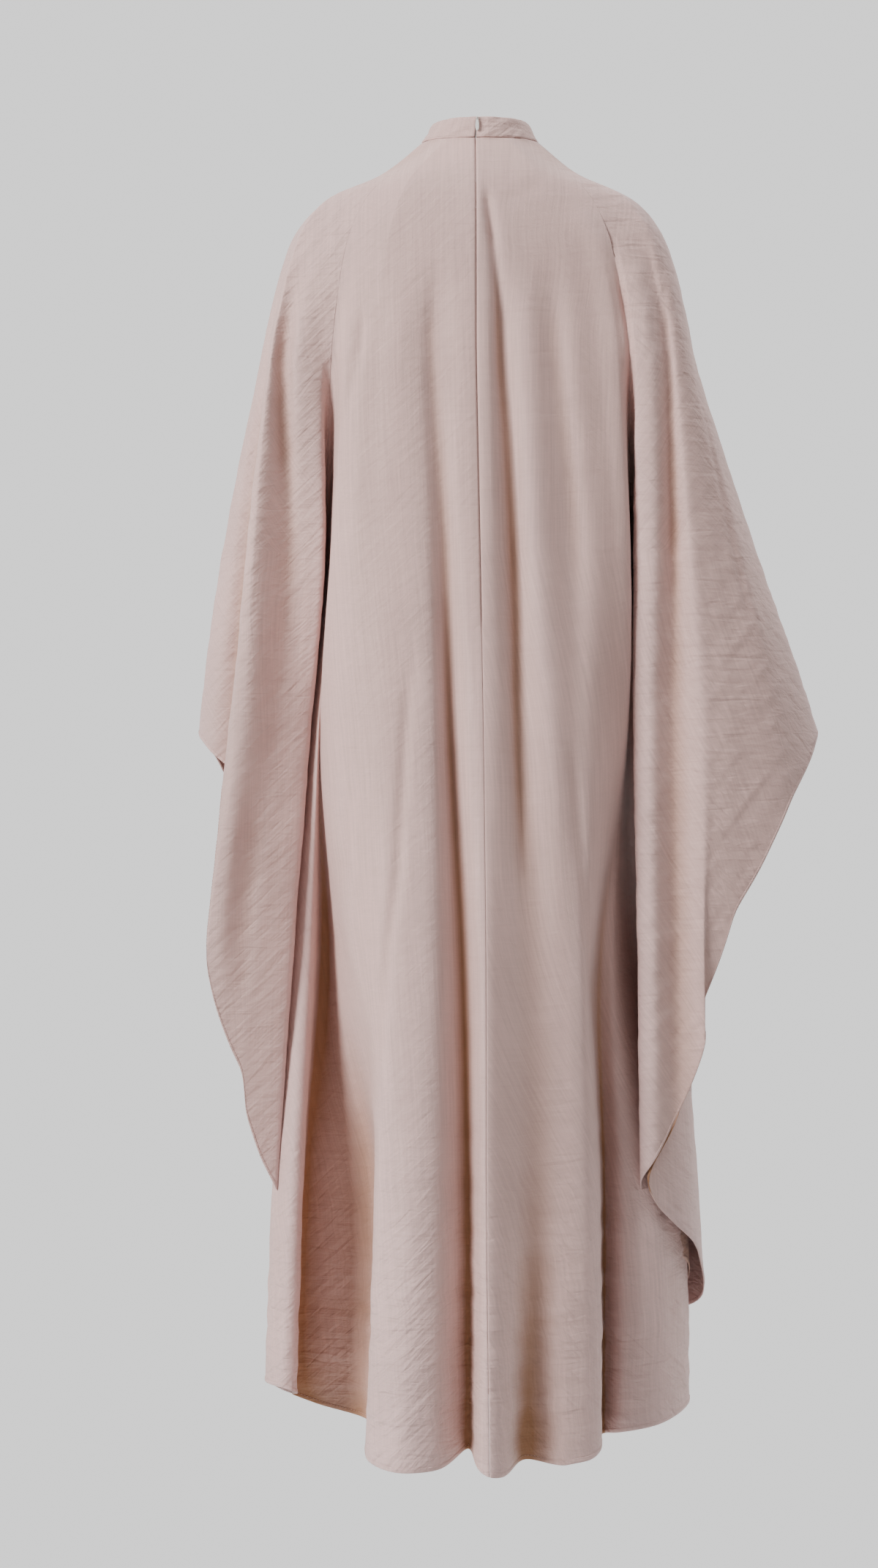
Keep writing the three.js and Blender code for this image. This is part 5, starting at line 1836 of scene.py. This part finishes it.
@dataclass(frozen=True)
class ClothFinish:
    """Light plain-woven cloth with slubs and a soft sheen; shade is painted into its folds and light onto its
    crests.

    Args:
        name: The material's name.
        base: Colour of the flat cloth.
        painted_fold_shade: Painted shade, a darker and warmer colour in the bottom of the folds.
        crest: Painted light, a lighter colour on the crests.
        streaks: Strength of the uneven yarns.
        weave: Height of the weave in metres.
        slubs: Height of the uneven yarns in metres.
        crinkles: Height of the small crinkles in metres.
        sheen: Strength of the sheen.
    """

    name: str
    base: Colour = (0.60, 0.402, 0.365)
    painted_fold_shade: Colour = (0.34, 0.17, 0.09)
    crest: Colour = (0.62, 0.43, 0.405)
    streaks: float = 1.0
    weave: float = 0.00006
    slubs: float = 0.00035
    crinkles: float = 0.0072
    sheen: float = 0.25

    def make(self, effects: SharedEffects) -> bpy.types.Material:
        """Builds the material.

        Args:
            effects: The shared node groups.

        Returns:
            The material.
        """
        material, t = new_material(self.name)
        cloth = t.add("ShaderNodeUVMap", uv_map="cloth").outputs[0]
        solid = t.add("ShaderNodeTexCoord").outputs["Object"]
        fold = t.add("ShaderNodeAttribute", attribute_name="fold").outputs["Fac"]
        crumple = t.add("ShaderNodeAttribute", attribute_name="crumple").outputs["Fac"]
        yarn, weave, crinkle = (
            t.add("ShaderNodeGroup", {"Vector": vector}, node_tree=group).outputs[0]
            for group, vector in ((effects.yarn, cloth), (effects.weave, cloth), (effects.crinkle, solid))
        )
        # Painted shade and light: by fold depth the colour turns darker and warmer in the folds and lighter
        # on the crests.
        painted_fold_shade = t.mix(t.remap(fold, -1, -15), (*self.base, 1), (*self.painted_fold_shade, 1))
        fold_painted_colour = t.mix(t.remap(fold, 2, 16), painted_fold_shade, (*self.crest, 1))
        patchy = t.remap(t.noise(solid, 7.0, 3.0), 0.35, 0.65, (0.96, 1.04))
        streak = t.remap(yarn, 0.3, 0.7, (1 - 0.1 * self.streaks, 1 + 0.1 * self.streaks))
        small = t.math("MULTIPLY", weave, self.weave)
        lumps = t.math("MULTIPLY", yarn, self.slubs * self.streaks)
        waves = t.math("MULTIPLY", crinkle, t.math("MULTIPLY", crumple, self.crinkles))
        height = t.math("ADD", t.math("ADD", small, lumps), waves)
        values = {
            "Roughness": t.remap(yarn, 0.3, 0.7, (0.78, 0.68)),
            "Specular IOR Level": 0.35,
            "Sheen Weight": self.sheen,
            "Sheen Roughness": 0.4,
            "Sheen Tint": (1.0, 0.9, 0.88, 1.0),
        }
        t.surface(fold_painted_colour, t.math("MULTIPLY", patchy, streak), height, values)
        return material


@dataclass(frozen=True)
class PlainFinish:
    """A simple finish with fine grain: thread, zip coil, lacquered metal or the studio floor.

    Args:
        name: The material's name.
        colour: Its colour.
        roughness: Its roughness.
        grain: Number of grains in a metre.
        grain_depth: Height of the grain in metres.
        variation: Share by which its brightness varies.
    """

    name: str
    colour: Colour
    roughness: float = 0.5
    grain: float = 2000.0
    grain_depth: float = 0.00002
    variation: float = 0.05

    def make(self) -> bpy.types.Material:
        """Builds the material and returns it."""
        material, t = new_material(self.name)
        solid = t.add("ShaderNodeTexCoord").outputs["Object"]
        grain, cloud = (t.noise(solid, scale) for scale in (self.grain, self.grain / 20))
        shade = t.remap(t.blend(grain, cloud, 0.5), 0.3, 0.7, (1 - self.variation, 1 + self.variation))
        height = t.math("MULTIPLY", grain, self.grain_depth)
        t.surface((*self.colour, 1), shade, height, {"Roughness": self.roughness, "Metallic": 0.0})
        return material


# ---------------------------------------------------------------- studio
@dataclass(frozen=True)
class Studio:
    """Plain pale floor and surround, soft lights and the camera.

    Args:
        floor_height: Height of the floor in metres.
        floor_radius: Its radius in metres.
        camera_place: Where the camera stands, in metres.
        lens: The camera's focal length in millimetres.
    """

    floor_height: float = -2.4
    floor_radius: float = 2.85
    camera_place: Place = (-0.044, -3.320, -0.715)
    lens: float = 67.699487

    def camera(self) -> None:
        """Makes the camera: level, behind the wearer's back, slightly to the left of the zip."""
        data = bpy.data.cameras.new("camera")
        data.sensor_width = 36.0
        data.lens = self.lens
        data.clip_end = 60
        camera = link_object("camera", data)
        camera.location = self.camera_place
        camera.rotation_euler = (math.pi / 2, 0, 0)
        bpy.context.scene.camera = camera

    def floor(self) -> bpy.types.Object:
        """Makes the round floor and returns it."""
        sides = 96
        turn = np.linspace(0, 2 * math.pi, sides, endpoint=False)
        round_line = np.stack([np.cos(turn), np.sin(turn)], axis=1) * self.floor_radius
        points = np.column_stack([round_line, np.full(sides, self.floor_height)])
        floor = make_object("studio_floor", points, [range(sides)])
        finish = PlainFinish("studio_paper", (0.80, 0.80, 0.80), 0.9, 40, 0.0, 0.004)
        floor.data.materials.append(finish.make())
        return floor

    def lights(self) -> None:
        """Makes the key light on the left, the weak fill on the right, the top light and the sky."""
        self._area("key", (-3.5, -2.6, 1.3), (0, 0, -0.75), (1.6, 1.8), 362, (1.0, 0.985, 0.985))
        self._area("fill", (1.2, -4.6, 0.6), (0, 0, -0.8), (2.4, 2.0), 6, (1.0, 0.90, 0.82))
        self._area("top", (1.8, -0.2, 3.4), (0, 0, -0.7), (5.0, 1.5), 165, (0.97, 0.99, 1.005))
        self._surround((0.14, 0.131, 0.122), (1.25, 1.25, 1.25))

    @staticmethod
    def _surround(near: Colour, beyond: Colour) -> None:
        """Makes the sky, dim on the wearer's back side and pale beyond the garment.

        Args:
            near: Colour behind the wearer's back.
            beyond: Colour in front of the wearer.
        """
        world = bpy.data.worlds.new("soft_sky")
        world.use_nodes = True
        t = NodeTree(world.node_tree)
        way = t.add("ShaderNodeTexCoord").outputs["Generated"]
        parts = t.add("ShaderNodeSeparateXYZ", {0: way})
        colour = t.mix(t.remap(parts.outputs["Y"], -0.25, 0.25), (*near, 1), (*beyond, 1))
        background = world.node_tree.nodes["Background"]
        world.node_tree.links.new(colour, background.inputs["Color"])
        bpy.context.scene.world = world

    @staticmethod
    def _area(
        name: str, place: Place, target: Place, size: tuple[float, float], power: float, colour: Colour
    ) -> None:
        """Adds one soft box.

        Args:
            name: Its name.
            place: Where it stands.
            target: The point that it faces.
            size: Its width and height.
            power: Its power in watts.
            colour: Its colour.
        """
        data = bpy.data.lights.new(name, "AREA")
        data.shape = "RECTANGLE"
        data.size, data.size_y = size
        data.energy = power
        data.color = colour
        light = link_object(name, data)
        light.location = place
        light.visible_camera = False
        light.rotation_mode = "QUATERNION"
        light.rotation_quaternion = (Vector(target) - Vector(place)).to_track_quat("-Z", "Y")


# ---------------------------------------------------------------- the whole garment
def cut_panels(net: ClothNet) -> list[ClothPanel]:
    """Shares the net out among the panels.

    Args:
        net: The finished net.

    Returns:
        The two backs and the front.
    """
    s = net.shape
    wl, wr, end = (net.column[line] for line in (s.at("wrist_left"), s.at("wrist_right"), s.last))
    left_wrist = wl - net.column[s.at("recess_back_left")]
    right_wrist = wr - net.column[s.at("recess_front_right")]
    width = {name: patch.ids.shape[1] - 1 for name, patch in net.patches.items()}
    back_left = [
        PanelPart("upper", 0, wl, ZIP_SEAM, PLAIN_SEAM),
        PanelPart("body_back_left", 0, width["body_back_left"], ZIP_SEAM, PLAIN_SEAM),
        PanelPart("sleeve_left", 0, left_wrist),
    ]
    back_right = [
        PanelPart("upper", wr, end, PLAIN_SEAM, ZIP_SEAM),
        PanelPart("body_back_right", 0, width["body_back_right"], PLAIN_SEAM, ZIP_SEAM),
        PanelPart("sleeve_right", right_wrist, width["sleeve_right"]),
    ]
    front = [
        PanelPart("upper", wl, wr),
        PanelPart("body_front", 0, width["body_front"]),
        PanelPart("sleeve_left", left_wrist, width["sleeve_left"]),
        PanelPart("sleeve_right", 0, right_wrist),
    ]
    return [
        ClothPanel("back_left", net, back_left, flat=(0.80, 1.50), middle=0.0),
        ClothPanel("back_right", net, back_right, flat=(0.85, 1.50), middle=1.0),
        ClothPanel("front", net, front, flat=(1.60, 1.45), middle=0.5),
    ]


def main() -> None:
    """Builds the kaftan and its studio."""
    logging.basicConfig(level=logging.INFO, format="%(name)s: %(message)s")
    studio = Studio()
    studio.camera()
    studio.floor()
    studio.lights()
    effects = SharedEffects()
    cloth = ClothFinish("kaftan_cloth").make(effects)
    thread = PlainFinish("kaftan_thread", (0.60, 0.44, 0.41), 0.6, grain=6000, variation=0.08).make()
    # Tape colour, then its painted fold shade and its painted crest light.
    tape_tones = ((0.40, 0.29, 0.265), (0.34, 0.22, 0.18), (0.42, 0.31, 0.29))
    tape_cloth = ClothFinish("kaftan_tape", *tape_tones, streaks=0.5).make(effects)
    coil_finish = PlainFinish("kaftan_coil", (0.50, 0.38, 0.35), 0.4, grain=3000).make()
    metal = PlainFinish("kaftan_lacquer", (0.70, 0.69, 0.66), 0.32, 900, 0.00001, 0.04).make()

    net = ClothNet(DrapedShape())
    net.build()
    stitches: list[np.ndarray] = []
    for panel in cut_panels(net):
        obj = panel.build()
        stitches += panel.stitch_paths
        for piece in (obj, panel.hem):
            piece.data.materials.append(cloth)
            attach(piece, "garment")
        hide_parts(panel.name)

    collar = Collar()
    band = collar.build()
    band.data.materials.append(cloth)
    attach(band, "garment")
    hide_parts("collar")

    for name, piece, paths in (
        ("hem_stitches", HEM_STITCH, stitches),
        ("collar_stitches", COLLAR_STITCH, collar.stitch_paths()),
    ):
        threads = piece.build(name, paths, thread)
        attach(threads, "garment")

    zip_line = ZipLine(net, collar)
    for side, node in ((1, "zip_tape_left"), (-1, "zip_tape_right")):
        tape = zip_line.tape(side)
        tape.data.materials.append(tape_cloth)
        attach(tape, "garment")
        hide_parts(node)
    coil = ZIP_COIL.build("zip_coil", [zip_line.coil_path()], coil_finish)
    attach(coil, "garment")

    place = crossbar_place(collar)
    for name, mesh, body, node in (
        ("zip_slider_metal", Slider().build(), "garment", "zip_slider"),
        ("zip_pull_metal", PullTab().build(), "pull_tab", "zip_pull"),
    ):
        mesh.transform(place)
        mesh.materials.clear()
        mesh.materials.append(metal)
        part = smooth_object(name, mesh)
        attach(part, body)
        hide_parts(node)


if __name__ == "__main__":
    main()
